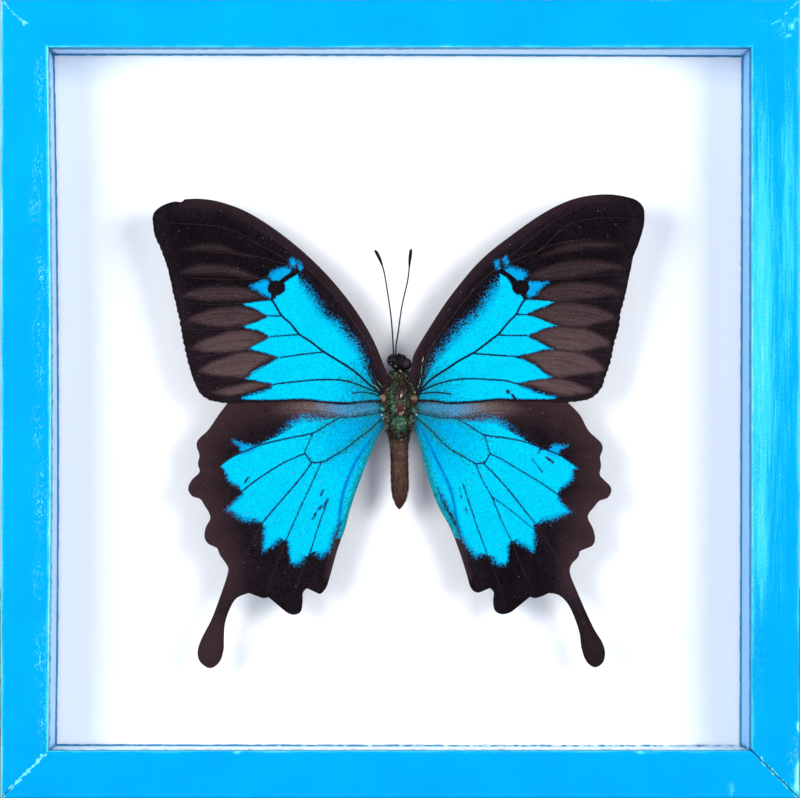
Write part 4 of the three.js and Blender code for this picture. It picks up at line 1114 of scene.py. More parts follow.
def wing(name, sides, outer, pairs, columns, depth, fields, dark_veins, pale_veins, thin=False):
    """One wing: the sheet and its veins in one piece, with the markings as attributes. The pairs
    are the places on the front and the rear side that a rib joins; fields gives the markings."""
    front, rear = matched(*sides, pairs)
    flat = membrane(front, rear, outer, columns)
    spots, points, faces, numbers = wing_sheet(flat, depth, (*dark_veins, *pale_veins))
    grain = np.stack(np.broadcast_arrays(
        np.linspace(0, 1, flat.shape[0])[:, None] * GRAIN_SPAN,
        np.linspace(0, 1, columns + 1)[None] * GRAIN_SPAN, 0.0), -1).reshape(-1, 3)
    rows = np.concatenate([fields(spots), grain], 1)
    parts = [(points, faces, 0, np.vstack([rows, rows]))]
    slim = HIND_SLIMNESS if thin else FORE_SLIMNESS
    for number, veins in ((4 if thin else 2, dark_veins), (3, pale_veins)):
        for start, end, line in veins:
            parts.append((*vein_tube(slim * start, slim * end, line, depth), number,
                          np.zeros((1, rows.shape[1]))))
    points, faces, part_numbers, rows = gathered(parts)
    part_numbers = np.array(part_numbers)
    part_numbers[:len(numbers)] = numbers
    piece = mesh_object(name, points, faces, WING_FINISHES, part_numbers, {
        "markings": rows[:, 0:3], "tints": rows[:, 3:6], "zones": rows[:, 6:9],
        "grain": rows[:, 9:12]})
    welded = bmesh.new()
    welded.from_mesh(piece.data)
    bmesh.ops.remove_doubles(welded, verts=welded.verts, dist=WELD)
    welded.to_mesh(piece.data)
    welded.free()
    return piece


# a distance beyond the reach of any marking
FAR = 99.0


def markings(spots, blue, flecks, marks, veins, lenses, lilac, fold, edges, root, reach,
             edge_brown, dusty):
    """The nine fields of a wing's colours, in this order.
    Markings: depth inside the blue patches, their dusting and the strength of the lenses.
    Tints: green near the body and inner edge, deep blue, and the flecks' deeper tone.
    Zones: red-brown near the edges or, below 0, deep black; depth inside the lilac strip; mm
    from the body."""
    x, height = spots.T
    forewing = root[1] > 0
    lead_gap, outer_gap, inner_gap = (
        to_line(spots, line) if line is not None else np.full(len(spots), FAR) for line in edges)
    inside, dusting = patch(spots, blue)
    dusting *= np.where(height < -16, 2.0, 1.15)
    # dusty flecks stand apart, in a deeper tone
    tone = np.zeros(len(spots))
    for dust, ring in flecks:
        fleck = patch(spots, ((dust, ring),))[0] + 0.3
        dusting = np.where(fleck > inside, dust, dusting)
        tone = np.where(fleck > -0.5, np.maximum(tone, np.clip(1 + fleck, 0, 1)), tone)
        inside = np.maximum(inside, fleck)
    # black marks and the veins cut into the blue
    for width, line in marks:
        gap = to_line(spots, chart(line)) - width
        dusting = np.where(gap < inside, 0.25, dusting)
        inside = np.minimum(inside, gap)
    vein_gap = np.full(len(spots), FAR)
    for start, end, line in veins:
        gap = to_line(spots, smooth(chart(line), 3)) - 0.5 * (start + end) / 2
        vein_gap = np.minimum(vein_gap, gap)
    dusting = np.where(vein_gap < inside, 0.2, dusting)
    inside = np.minimum(inside, vein_gap)
    # a thin dusting runs down the inner edge of the hindwing
    at_edge = (inner_gap < 1.2) & (inside > -1.6) & (height > -30)
    inside = np.where(at_edge, np.maximum(inside, 0.45), inside)
    dusting = np.where(at_edge, 0.6, dusting)
    # the lenses fade towards their rims and a little along their middle line
    lens_share = np.zeros(len(spots))
    for ring in lenses:
        spread = 0.45 if ring[0][0] > 340 else 0.15
        depth = np.clip((patch(spots, ((0, ring),))[0] + spread) / 0.95, 0, 1)
        spine = to_line(spots, chart((ring[0], ring[len(ring) // 2])))
        lens_share = np.maximum(lens_share, depth * (1 - 0.25 * np.exp(-(spine / 0.2) ** 2)))
    lens_share *= np.interp(height, LENS_HEIGHTS, LENS_STRENGTHS)
    lilac_depth = patch(spots, ((0, lilac),))[0] if lilac else np.full(len(spots), -FAR)
    fold_gap = to_line(spots, smooth(chart(fold), 3)) if fold else np.full(len(spots), FAR)
    from_root = np.hypot(x - root[0], height - root[1])
    # green at the root, along the inner edge and along the rim of the blue, then deep blue near
    # the root and in the fold
    green = np.clip(1.3 - from_root / (reach * 0.32), 0, 1)
    green = np.maximum(green, np.clip(1.35 - inner_gap / 1.5, 0, 1) * 0.95)
    green = np.maximum(green, np.clip(1 - (inside - 0.2) / 1.6, 0, 1)
                       * np.clip(1.3 - from_root / reach, 0, 1))
    deep = np.clip(1.0 - from_root / (reach * 1.25), 0.08, 1)
    deep = np.maximum(deep, np.exp(-(fold_gap / 0.4) ** 2) * 1.1)
    # brown along the front, the outer and the lower inner edge, and deep black inside a forewing
    brown = np.maximum(np.clip(1 - lead_gap / (2.6 if forewing else 9.0), 0, 1),
                       edge_brown * np.clip(1 - outer_gap / 7.0, 0, 1))
    if forewing:
        brown = brown * 0.55 * np.clip((50 - np.abs(x)) / 7, 0, 1)
    brown = np.maximum(brown, np.clip(1.2 - inner_gap / 1.8, 0, 1) * (height < -28))
    brown = np.minimum(brown + soft_spots(x, height, dusty), 1.4)
    if forewing:
        brown -= (np.clip((height - 14) / 10, 0, 1) * np.clip((outer_gap - 1.5) / 3, 0, 1)
                  * np.clip((lead_gap - 2) / 3, 0, 1))
    return np.stack([inside, dusting, lens_share, green, deep, tone, brown, lilac_depth,
                     np.abs(x)], 1)


# Wing scales: overlapping plates 0.2 mm apart, blue by structure in the patches and pigment
# black elsewhere. Each scale has its own tone, and the patch edges are dusted scale by scale.
SCALE = 0.21
SHADE = 5.0
SPECK_SPACING = 2.2
scales, tree, shader = new_material(
    "swallowtail upper wing scales", Roughness=0.6, Specular_IOR_Level=0.0)
place = node(tree, "TexCoord").outputs["Object"]
shift = node(tree, "TexNoise", {"Vector": place, "Scale": 1 / (SHADE * MM)})
cells = node(tree, "TexVoronoi", {"Vector": place, "Scale": 1 / (SCALE * MM)})
chance = node(tree, "SeparateColor", {0: cells.outputs["Color"]})
blue_field, tint_field, zone_field = (
    node(tree, "SeparateXYZ", {0: node(tree, "Attribute", attribute_name=name).outputs["Vector"]})
    for name in ("markings", "tints", "zones"))
streak_map = node(tree, "Mapping", {
    "Vector": node(tree, "Attribute", attribute_name="grain").outputs["Vector"],
    "Scale": (0.12, 2.6, 1.0)})
streak = node(tree, "TexNoise", {"Vector": streak_map, "Scale": 1.0, "Detail": 3.0})
# a scale is blue by chance, the surer the deeper inside the dusted edge it lies
in_dust = node(tree, "Math", {0: blue_field.outputs[0], 1: blue_field.outputs[1]},
               operation="DIVIDE")
cover = node(tree, "MapRange", {
    "Value": in_dust, "From Min": -0.8, "From Max": 1.7}, interpolation_type="SMOOTHSTEP")
blue_lead = node(tree, "Math", {0: cover, 1: 1.6, 2: -0.12}, operation="MULTIPLY_ADD")
blue_lead = node(tree, "Math", {0: chance.outputs[0], 1: -0.85, 2: blue_lead},
                 operation="MULTIPLY_ADD")
is_blue = node(tree, "Math", {0: blue_lead, 1: 2.2}, operation="MULTIPLY", use_clamp=True)
# the blue: deeper near the root and where it is thin, in flecks another tone, and dusted green
bright = node(tree, "Mix", {
    0: streak, 6: linear("#00B6DC"), 7: linear("#00CCEB")}, data_type="RGBA")
thinned = node(tree, "MapRange", {"Value": cover, "From Min": 1.0, "From Max": 0.2, "To Max": 0.95})
deepened = node(tree, "Math", {0: thinned, 1: tint_field.outputs[1]}, operation="MAXIMUM")
deep_share = node(tree, "Math", {
    0: chance.outputs[1], 1: 0.35, 2: deepened}, operation="MULTIPLY_ADD")
deep_mask = node(tree, "MapRange", {"Value": deep_share, "From Min": 0.15, "From Max": 1.25})
deeper = node(tree, "Mix", {0: deep_mask, 6: bright, 7: linear("#0064B2")}, data_type="RGBA")
fleck_tone = node(tree, "Math", {0: tint_field.outputs[2], 1: 0.7}, operation="MULTIPLY")
flecked = node(tree, "Mix", {0: fleck_tone, 6: deeper, 7: linear("#0582C4")}, data_type="RGBA")
green_chance = node(tree, "Math", {0: chance.outputs[2], 1: tint_field.outputs[0]},
                    operation="LESS_THAN")
green_share = node(tree, "Math", {0: green_chance, 1: 0.62}, operation="MULTIPLY")
blue_scale = node(tree, "Mix", {0: green_share, 6: flecked, 7: linear("#167668")}, data_type="RGBA")
own_tone = node(tree, "MapRange", {"Value": chance.outputs[2], "To Min": 0.78, "To Max": 1.1})
blue_toned = node(tree, "Mix", {
    0: 1.0, 6: blue_scale, 7: own_tone}, data_type="RGBA", blend_type="MULTIPLY")
# the ground: black, with streaked pale lenses, brown zones and the lilac strip
lens_streak = node(tree, "MapRange", {
    "Value": streak, "From Min": 0.35, "From Max": 0.65, "To Min": 0.6, "To Max": 1.1})
lens_grain = node(tree, "MapRange", {"Value": chance.outputs[1], "To Min": 0.7, "To Max": 1.3})
lens_share = node(tree, "Math", {0: blue_field.outputs[2], 1: lens_streak}, operation="MULTIPLY")
lens_share = node(tree, "Math", {0: lens_share, 1: lens_grain},
                  operation="MULTIPLY", use_clamp=True)
wear = node(tree, "Mix", {2: chance.outputs[1], 3: shift, 0: 0.4})
black = node(tree, "ValToRGB", {"Fac": wear}, stops=(
    (0.15, "#070509"), (0.5, "#151116"), (0.85, "#291F25")))
night = node(tree, "MapRange", {
    "Value": zone_field.outputs[0], "From Min": -1.0, "From Max": 0.0, "To Min": 0.6})
blacker = node(tree, "Mix", {0: 1.0, 6: black, 7: night}, data_type="RGBA", blend_type="MULTIPLY")
lensed = node(tree, "Mix", {0: lens_share, 6: blacker, 7: linear("#564445")}, data_type="RGBA")
brown_share = node(tree, "Math", {0: zone_field.outputs[0], 1: 0.75}, operation="MULTIPLY")
browned = node(tree, "Mix", {0: brown_share, 6: lensed, 7: linear("#3E2C30")}, data_type="RGBA")
lilac_cover = node(tree, "MapRange", {
    "Value": zone_field.outputs[1], "From Min": -1.3, "From Max": 1.4},
    interpolation_type="SMOOTHSTEP")
lilac_lead = node(tree, "Math", {0: lilac_cover, 1: 1.9}, operation="MULTIPLY")
lilac_lead = node(tree, "Math", {0: lilac_lead, 1: chance.outputs[1]},
                  operation="SUBTRACT", use_clamp=True)
from_body = node(tree, "MapRange", {"Value": zone_field.outputs[2], "From Max": 30.0})
lilac_hue = node(tree, "ValToRGB", {"Fac": from_body}, stops=(
    (0.12, "#216A78"), (0.2, "#2E7597"), (0.42, "#427EA4"), (0.52, "#5D6F85"), (0.63, "#615553"),
    (0.76, "#503E40"), (0.95, "#241A1B")))
mottle = node(tree, "MapRange", {"Value": chance.outputs[2], "To Min": 0.65, "To Max": 1.3})
lilac_toned = node(tree, "Mix", {
    0: 1.0, 6: lilac_hue, 7: mottle}, data_type="RGBA", blend_type="MULTIPLY")
ground = node(tree, "Mix", {0: lilac_lead, 6: browned, 7: lilac_toned}, data_type="RGBA")
# single pale scales over both
specks = node(tree, "TexVoronoi", {"Vector": place, "Scale": 1 / (SPECK_SPACING * MM)})
near_speck = node(tree, "Math", {0: specks, 1: 0.075}, operation="LESS_THAN")
coloured = node(tree, "Mix", {0: is_blue, 6: ground, 7: blue_toned}, data_type="RGBA")
speck_share = node(tree, "Math", {0: near_speck, 1: 0.4}, operation="MULTIPLY")
final = node(tree, "Mix", {0: speck_share, 6: coloured, 7: linear("#6B6364")}, data_type="RGBA")
bump = node(tree, "Bump", {"Height": cells, "Strength": 0.3, "Distance": 0.02 * MM})
feed(tree, shader, {"Base Color": final, "Normal": bump})

# The underside is matt brown with a fine dusting of paler scales.
under_scales, tree, shader = new_material("swallowtail underside scales", Roughness=0.7,
                                          Specular_IOR_Level=0.15)
place = node(tree, "TexCoord").outputs["Object"]
cells = node(tree, "TexVoronoi", {"Vector": place, "Scale": 1 / (SCALE * MM)})
tone = node(tree, "ValToRGB", {"Fac": cells.outputs["Color"]},
            stops=((0.2, "#2A1F1C"), (0.7, "#3C2E29"), (0.95, "#7A6A5A")))
feed(tree, shader, {"Base Color": tone})


def chitin(name, dark, light, roughness, grit, shine=0.3):
    """Dried chitin: two tones mixed by a noise of that grit in mm, with a fine bump."""
    made, tree, shader = new_material(name, Roughness=roughness, Specular_IOR_Level=shine)
    place = node(tree, "TexCoord").outputs["Object"]
    mark = node(tree, "TexNoise", {
        "Vector": place, "Scale": 1 / (grit * MM), "Detail": 4.0, "Roughness": 0.7})
    tone = node(tree, "ValToRGB", {"Fac": mark}, stops=((0.35, dark), (0.65, light)))
    bump = node(tree, "Bump", {"Height": mark, "Strength": 0.4, "Distance": 0.05 * MM})
    feed(tree, shader, {"Base Color": tone, "Normal": bump})
    return made


dark_vein = chitin("vein under black scales", "#041420", "#082536", 0.7, 0.4, 0.03)
pale_vein = chitin("vein with worn scales", "#211919", "#392D2C", 0.7, 0.5, 0.05)
blue_vein = chitin("vein dusted with blue scales", "#042C46", "#084A72", 0.7, 0.4, 0.03)
# the upper side, the underside and three kinds of vein, in the order of the faces' numbers
WING_FINISHES = [scales, under_scales, dark_vein, pale_vein, blue_vein]


def chain(*stretches):
    """Smooth stretches joined at their corners into one line."""
    return np.vstack([smooth(stretch)[:-1] for stretch in stretches] + [[stretches[-1][-1]]])


NOTCH_PITCH = 1.4
NOTCH_STEPS = 400


def serrated(line, seed):
    """The forewing's worn outer edge: a sine, cubed, and a smaller random part bite notches of
    up to 0.35 mm inwards, which fade towards both ends of the edge."""
    line = even(line, NOTCH_STEPS)
    reach = np.linspace(0, np.linalg.norm(np.diff(line, axis=0), axis=1).sum(), NOTCH_STEPS)
    bite = 0.14 + 0.07 * wander(seed, reach, NOTCH_PITCH / 2) + 0.14 * np.sin(
        reach * 2 * np.pi / NOTCH_PITCH) ** 3
    bite *= np.sin(np.linspace(0, np.pi, NOTCH_STEPS)) ** 0.3
    ahead = np.gradient(line, axis=0)
    ahead /= np.linalg.norm(ahead, axis=1, keepdims=True)
    inward = np.stack([-ahead[:, 1], ahead[:, 0]], 1)
    inward *= np.sign(-inward[NOTCH_STEPS // 2] @ line[NOTCH_STEPS // 2])
    return line + inward * bite[:, None]


for side, name, outline, lead, blue, flecks, marks, lenses, dark_veins, pale_veins in (
    (-1, "left", FOREWING_LEFT, chain(*FOREWING_LEFT[:2]), BLUE_FORE_LEFT, FLECKS_FORE_LEFT,
     SPOTS_FORE_LEFT, LENSES_LEFT, DARK_VEINS_FORE_LEFT, PALE_VEINS_FORE_LEFT),
    (1, "right", FOREWING_RIGHT, chain(FOREWING_RIGHT[0]), BLUE_FORE_RIGHT, FLECKS_FORE_RIGHT,
     SPOTS_FORE_RIGHT, LENSES_RIGHT, DARK_VEINS_FORE_RIGHT, PALE_VEINS_FORE_RIGHT),
):
    rear = chain(outline[-1])[::-1]
    outer = serrated(chain(outline[-2]), 5 + side)
    piece = wing(
        f"scaled_forewing_{name}", (lead, rear), outer,
        ((lead[0], rear[0]), (lead[-1], rear[-1])), FORE_COLUMNS, forewing_depth,
        lambda spots: markings(spots, blue, flecks, marks, dark_veins, lenses, None, None,
                               (lead, outer, None), (side * 2.0, 0.5), 11.0, 0.25, ()),
        dark_veins, pale_veins)
    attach(piece, "root")
    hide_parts(f"forewing_{name}")

# The stations of a hindwing are pairs of places on its two sides that a rib joins.
for side, name, outline, blue, flecks, marks, lilac, fold, dark_veins, pale_veins, stations in (
    (-1, "left", HINDWING_LEFT, BLUE_HIND_LEFT, FLECKS_HIND_LEFT, SPOTS_HIND_LEFT, LILAC_LEFT,
     FOLD_LEFT, DARK_VEINS_HIND_LEFT, PALE_VEINS_HIND_LEFT,
     (((-43.2, -10.1), (-6.4, -11.9)), ((-45.4, -19.2), (-11.5, -27.0)),
      ((-41.9, -30.0), (-16.9, -41.7)), ((-39.1, -31.9), (-20.8, -43.5)),
      ((-38.0, -34.5), (-25.8, -44.0)), ((-37.0, -35.8), (-29.2, -42.7)),
      ((-36.8, -36.6), (-32.4, -41.6)), ((-38.6, -42.5), (-36.5, -45.1)),
      ((-40.7, -57.8), (-40.7, -57.8)))),
    (1, "right", HINDWING_RIGHT, BLUE_HIND_RIGHT, FLECKS_HIND_RIGHT, SPOTS_HIND_RIGHT, LILAC_RIGHT,
     FOLD_RIGHT, DARK_VEINS_HIND_RIGHT, PALE_VEINS_HIND_RIGHT,
     (((43.5, -9.8), (5.2, -12.9)), ((45.5, -19.3), (11.0, -27.7)),
      ((42.1, -30.0), (16.6, -41.5)), ((38.9, -32.6), (20.4, -43.5)),
      ((37.9, -34.5), (25.4, -43.9)), ((36.9, -35.9), (29.2, -42.7)),
      ((36.7, -36.9), (32.2, -41.6)), ((38.5, -41.8), (36.3, -44.0)),
      ((42.1, -57.6), (42.1, -57.6)))),
):
    tail = chain(outline[2])
    tip = int(np.argmin(np.hypot(*(tail - stations[-1][0]).T)))
    front = np.vstack([chain(outline[0], outline[1])[:-1], tail[:tip + 1]])
    rear = np.vstack([chain(outline[4])[::-1][:-1], chain(outline[3])[::-1][:-1], tail[tip:][::-1]])
    piece = wing(
        f"scaled_hindwing_{name}", (front, rear), None,
        ((front[0], rear[0]), *stations), HIND_COLUMNS, hindwing_depth,
        lambda spots: markings(spots, blue, flecks, marks, dark_veins, (), lilac, fold,
                               (chain(outline[0]), chain(outline[1]), chain(outline[4])),
                               (side * 2.2, -2.5), 17.0, 0.95,
                               ((side * 17.5, -2.6, 6.0, 2.4, 1.4),
                                (side * 41, -52, 5.0, 9.0, 0.6 - 0.3 * side),
                                (side * 25, -37, 9.0, 7.0, -0.75 - 0.25 * side))),
        dark_veins, pale_veins, thin=True)
    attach(piece, "root")
    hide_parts(f"hindwing_{name}")

# ---- thorax and legs ---------------------------------------------------------------------------
# A barrel of wing muscle under fine dark hair and a few green scales. Its back has dried into a
# long hollow, tan plates cover the wing roots, and the six legs are folded behind it.

# height, x, depth, half width and half depth up the barrel
THORAX = (
    (-9.6, 0, 14.1, 1.2, 1.2), (-9.0, 0, 14.1, 1.75, 1.85), (-7.6, 0, 14.1, 1.98, 2.1),
    (-6.2, 0, 14.1, 2.25, 2.35), (-4.4, 0, 14.0, 2.55, 2.6),
    (-2.0, 0, 14.0, 2.7, 2.75), (0.4, 0, 14.0, 2.7, 2.8), (2.6, 0, 14.0, 2.65, 2.7),
    (4.4, 0, 13.9, 2.4, 2.4), (5.7, 0, 13.8, 1.9, 1.9), (6.4, 0, 13.8, 1.2, 1.2),
)
HOLLOW_MIDDLE = (0.17, -0.95)
HOLLOW_HALF = (1.0, 2.35)
HOLLOW_BARE = (1.15, 2.5)
HOLLOW_DEPTH = 0.7
COAT_HAIRS = 5200
ROOT_HAIRS = 1500
# soft ellipses: x and height of the middle, half sizes and strength
GREEN_PATCHES = (
    (-1.5, 0.2, 0.45, 2.4, 1.0), (-1.3, -2.2, 0.5, 1.0, 0.8), (1.7, 0.2, 0.3, 2.2, 0.5),
    (0.0, -4.8, 1.7, 1.2, 1.2), (0.2, -6.4, 1.4, 0.8, 0.5), (0.2, -0.5, 0.5, 0.7, 0.6),
    (-0.9, 3.2, 0.5, 0.8, 0.4),
)
RED_PATCHES = (
    (0.2, 0.7, 0.7, 0.7, 1.0), (0.3, -2.0, 0.6, 1.0, 1.3), (0.1, 2.2, 0.4, 0.6, 0.8),
    (-2.6, -4.4, 0.7, 1.6, 0.7), (2.6, -4.4, 0.7, 1.6, 0.7),
)
# hip, knee, ankle and foot of the right legs as x, depth and height
LEG_JOINTS = (
    ((0.8, 15.8, 3.2), (1.8, 17.6, 4.4), (1.2, 18.5, 2.2), (1.0, 18.4, -0.6)),
    ((0.9, 16.0, 0.8), (2.1, 17.8, 1.5), (1.7, 18.8, -1.8), (1.3, 18.6, -5.0)),
    ((0.9, 15.9, -1.8), (2.2, 17.6, -1.6), (1.9, 18.4, -5.6), (1.2, 17.9, -9.2)),
)
LEG_RADII = (0.34, 0.3, 0.2, 0.14)
LEG_STEPS = 40
POLE = 0.12


def lathe(line, sides):
    """Ellipses around an upright axis, closed by a point at each end. Each row of the line is
    height, x, depth, half width and half depth."""
    height, x, depth, wide, deep = (line[:, k, None] for k in range(5))
    angle = np.linspace(0, 2 * np.pi, sides, endpoint=False)[None]
    rings = np.stack([x + wide * np.sin(angle), depth - deep * np.cos(angle),
                      height + 0 * angle], -1)
    points = np.vstack([rings[:1].mean(1), rings.reshape(-1, 3), rings[-1:].mean(1)])
    ring = np.arange(sides) + 1
    after = np.roll(ring, -1)
    top = (len(line) - 1) * sides
    faces = [*(quad_grid(len(line), sides, around=True) + 1),
             *np.stack([0 * ring, after, ring], 1),
             *np.stack([0 * ring + len(points) - 1, ring + top, after + top], 1)]
    return points, faces


def ball_line(middle, half, rows):
    """The lathe's line of an ellipsoid, stopped just short of its poles; its middle and half
    sizes are (x, depth, height)."""
    turn = np.linspace(POLE, np.pi - POLE, rows)
    return np.stack([middle[2] - half[2] * np.cos(turn), middle[0] + 0 * turn,
                     middle[1] + 0 * turn, half[0] * np.sin(turn), half[1] * np.sin(turn)], 1)


def swung(points, angle, pivot):
    """Points turned clockwise about the line of sight through the pivot (x, height)."""
    x, height = points[:, 0] - pivot[0], points[:, 2] - pivot[1]
    return np.stack([pivot[0] + x * np.cos(angle) + height * np.sin(angle), points[:, 1],
                     pivot[1] - x * np.sin(angle) + height * np.cos(angle)], 1)


def on_lathe(line, share, angle):
    """Places on the lathe's surface and the directions outwards from it."""
    at = share * (len(line) - 1)
    low = np.minimum(at.astype(int), len(line) - 2)
    height, x, depth, wide, deep = (line[low] + (at - low)[:, None] * (line[low + 1] - line[low])).T
    out = np.stack([deep * np.sin(angle), -wide * np.cos(angle), 0 * angle], 1)
    return (np.stack([x + wide * np.sin(angle), depth - deep * np.cos(angle), height], 1),
            out / np.linalg.norm(out, axis=1, keepdims=True))


def hairs(roots, leans, lengths, radius, tones):
    """A part of tapering three-sided hairs: a ring at the root, a thinner one at half the length
    and a point, bent over by a fifth of the length towards the abdomen."""
    lengths = np.asarray(lengths, float)[:, None]
    leans = leans / np.linalg.norm(leans, axis=1, keepdims=True)
    side = np.cross(leans, (0.31, 0.17, 0.93))
    side /= np.linalg.norm(side, axis=1, keepdims=True)
    other = np.cross(side, leans)
    angle = np.radians((0, 120, 240))[None, :, None]
    ring = (np.cos(angle) * side[:, None] + np.sin(angle) * other[:, None]) * radius
    half = roots + leans * lengths * 0.5 - np.array((0, 0, 0.05)) * lengths
    tip = roots + leans * lengths - np.array((0, 0, 0.2)) * lengths
    points = np.concatenate([roots[:, None] + ring, half[:, None] + ring * 0.7, tip[:, None]], 1)
    start = np.arange(len(roots))[:, None, None] * 7
    walls = start + np.array([(0, 1, 4, 3), (1, 2, 5, 4), (2, 0, 3, 5)])
    ends = start + np.array([(0, 2, 1), (3, 4, 6), (4, 5, 6), (5, 3, 6)])
    faces = [*walls.reshape(-1, 4), *ends.reshape(-1, 3)]
    rows = np.zeros((len(roots), 4))
    rows[:, 3] = tones
    return points.reshape(-1, 3), faces, 1, rows.repeat(7, 0)


# the row of a point without tinge and tone
PLAIN = ((0, 0, 0, 0),)


def body_piece(name, parts, finishes, node_name):
    """Joins a body part's shells and hairs; their rows are green, red, pale (on the eyes a painted
    sheen) and the hair tone.
    """
    points, faces, numbers, rows = gathered(parts)
    piece = mesh_object(name, placed(*points.T), faces, finishes, numbers, {
        "tinge": rows[:, 0:3], "tone": rows[:, 3]})
    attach(piece, "root")
    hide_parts(node_name)
    return piece


# Chitin of the thorax: near-black brown, with green scales, dried red muscle and a pale rim.
GRIT = 0.5
thorax_chitin, tree, shader = new_material("scaled thorax chitin", Roughness=0.55,
                                           Specular_IOR_Level=0.12)
place = node(tree, "TexCoord").outputs["Object"]
grit = node(tree, "TexNoise", {
    "Vector": place, "Scale": 1 / (GRIT * MM), "Detail": 5.0, "Roughness": 0.8})
tinge = node(tree, "SeparateXYZ", {
    0: node(tree, "Attribute", attribute_name="tinge").outputs["Vector"]})
ground = node(tree, "ValToRGB", {"Fac": grit}, stops=((0.4, "#080606"), (0.6, "#30241F")))
greens = node(tree, "ValToRGB", {"Fac": grit}, stops=((0.42, "#0B1C17"), (0.6, "#458566")))
reds = node(tree, "ValToRGB", {"Fac": grit}, stops=((0.4, "#200508"), (0.65, "#4E1A22")))
tinted = ground
for k, ramp in enumerate((greens, reds)):
    part = node(tree, "Math", {0: tinge.outputs[k], 1: 0.9}, operation="MULTIPLY", use_clamp=True)
    tinted = node(tree, "Mix", {0: part, 6: tinted, 7: ramp}, data_type="RGBA")
pale_part = node(tree, "Math", {0: tinge.outputs[2], 1: grit}, operation="MULTIPLY", use_clamp=True)
with_pale = node(tree, "Mix", {0: pale_part, 6: tinted, 7: linear("#A39189")}, data_type="RGBA")
bump = node(tree, "Bump", {"Height": grit, "Strength": 0.7, "Distance": 0.12 * MM})
feed(tree, shader, {"Base Color": with_pale, "Normal": bump})

# Hairs and scale tufts share one finish; the tone of each picks its colour from black to cream.
body_hair, tree, shader = new_material("insect hair and scale tufts", Roughness=0.5,
                                       Specular_IOR_Level=0.15)
tone = node(tree, "Attribute", attribute_name="tone")
hue = node(tree, "ValToRGB", {"Fac": tone.outputs["Fac"]}, stops=(
    (0.0, "#0B0808"), (0.25, "#231914"), (0.45, "#4A2622"), (0.6, "#6F5639"), (0.75, "#1C5A42"),
    (0.87, "#4E8F6E"), (0.95, "#9AA288"), (1.0, "#D2BFB0")))
feed(tree, shader, {"Base Color": hue})

# Tan plates over the wing roots, darker and redder towards the bottom.
root_plate, tree, shader = new_material("tan wing-root plate", Roughness=0.45,
                                        Specular_IOR_Level=0.4)
place = node(tree, "TexCoord").outputs["Object"]
grit = node(tree, "TexNoise", {
    "Vector": place, "Scale": 1 / (GRIT * MM), "Detail": 4.0, "Roughness": 0.7})
PLATE_HALF = 1.2
rise = node(tree, "MapRange", {
    "Value": node(tree, "SeparateXYZ", {0: place}).outputs[2],
    "From Min": (FRAME_HALF - PLATE_HALF) * MM, "From Max": (FRAME_HALF + PLATE_HALF) * MM})
mixed = node(tree, "Math", {0: grit, 1: 0.6, 2: rise}, operation="MULTIPLY_ADD")
tone = node(tree, "ValToRGB", {"Fac": mixed},
            stops=((0.35, "#240F0B"), (0.72, "#4A251C"), (0.95, "#5E4A30")))
feed(tree, shader, {"Base Color": tone})

leg_chitin = chitin("leg chitin", "#17110F", "#3A2B25", 0.5, 0.3)

thorax_line = even(smooth(THORAX), 120)
hull, hull_faces = lathe(thorax_line, 120)
x, depth, height = hull.T
x *= 1 + 0.05 * np.sin(height * 2.1 + x) + 0.04 * np.sin(height * 4.7 + 2 * np.sign(x))
# the hollow with its lumpy rim, the seams beside and before it, and the line behind the shoulders
facing = depth < 14
reach = np.hypot((x - HOLLOW_MIDDLE[0]) / HOLLOW_HALF[0],
                 (height - HOLLOW_MIDDLE[1]) / HOLLOW_HALF[1])
around = np.arctan2(height - HOLLOW_MIDDLE[1], x - HOLLOW_MIDDLE[0])
reach *= 1 + 0.07 * np.sin(3 * around + 1) + 0.06 * np.sin(7 * around) + 0.04 * np.sin(13 * around)
rim = np.exp(-((reach - 1) / 0.15) ** 2) * facing * (0.65 + 0.35 * np.sin(9 * around + 2))
sunk = HOLLOW_DEPTH * np.clip(1 - reach ** 2, 0, 1) ** 0.6 * facing
seams = 0.16 * (np.exp(-((np.abs(x) - 1.95) / 0.13) ** 2)
                + np.exp(-(x / 0.12) ** 2) * (height > 1.7)) * facing
shoulder = 0.14 * np.exp(-((height + 3.75) / 0.22) ** 2) * facing
depth += sunk - 0.16 * rim + seams + shoulder
hull_rows = np.stack([
    soft_spots(x, height, GREEN_PATCHES) * facing, soft_spots(x, height, RED_PATCHES) * facing,
    rim * np.clip(0.5 + 1.1 * np.sin(9 * around + 2), 0, 1.2), 0 * rim], 1)

# the coat: hairs that lean back, longer at the sides, green and red on those patches
chance = np.random.default_rng(11)
angle = chance.uniform(-2.1, 2.1, COAT_HAIRS)
roots, out = on_lathe(thorax_line, chance.uniform(0.02, 0.98, COAT_HAIRS), angle)
free = np.hypot((roots[:, 0] - HOLLOW_MIDDLE[0]) / HOLLOW_BARE[0],
                (roots[:, 2] - HOLLOW_MIDDLE[1]) / HOLLOW_BARE[1]) > 1
roots, out, angle = roots[free], out[free], angle[free]
greenish = soft_spots(roots[:, 0], roots[:, 2], GREEN_PATCHES)
reddish = soft_spots(roots[:, 0], roots[:, 2], RED_PATCHES)
draw = chance.uniform(0, 1, len(roots))
tones = np.where(draw < 0.65 * greenish, 0.72 + 0.18 * chance.uniform(0, 1, len(roots)),
                 np.where(draw < 0.2 + 0.6 * reddish + 0.25 * (np.abs(angle) > 0.9), 0.42,
                          0.2 * chance.uniform(0, 1, len(roots))))
pale = chance.uniform(0, 1, len(roots))
tones = np.where(pale < 0.09 + 0.08 * greenish, 0.86 + 1.2 * pale, tones)
lean = out + chance.normal(0, 0.3, out.shape) - np.array((0, 0, 0.9))
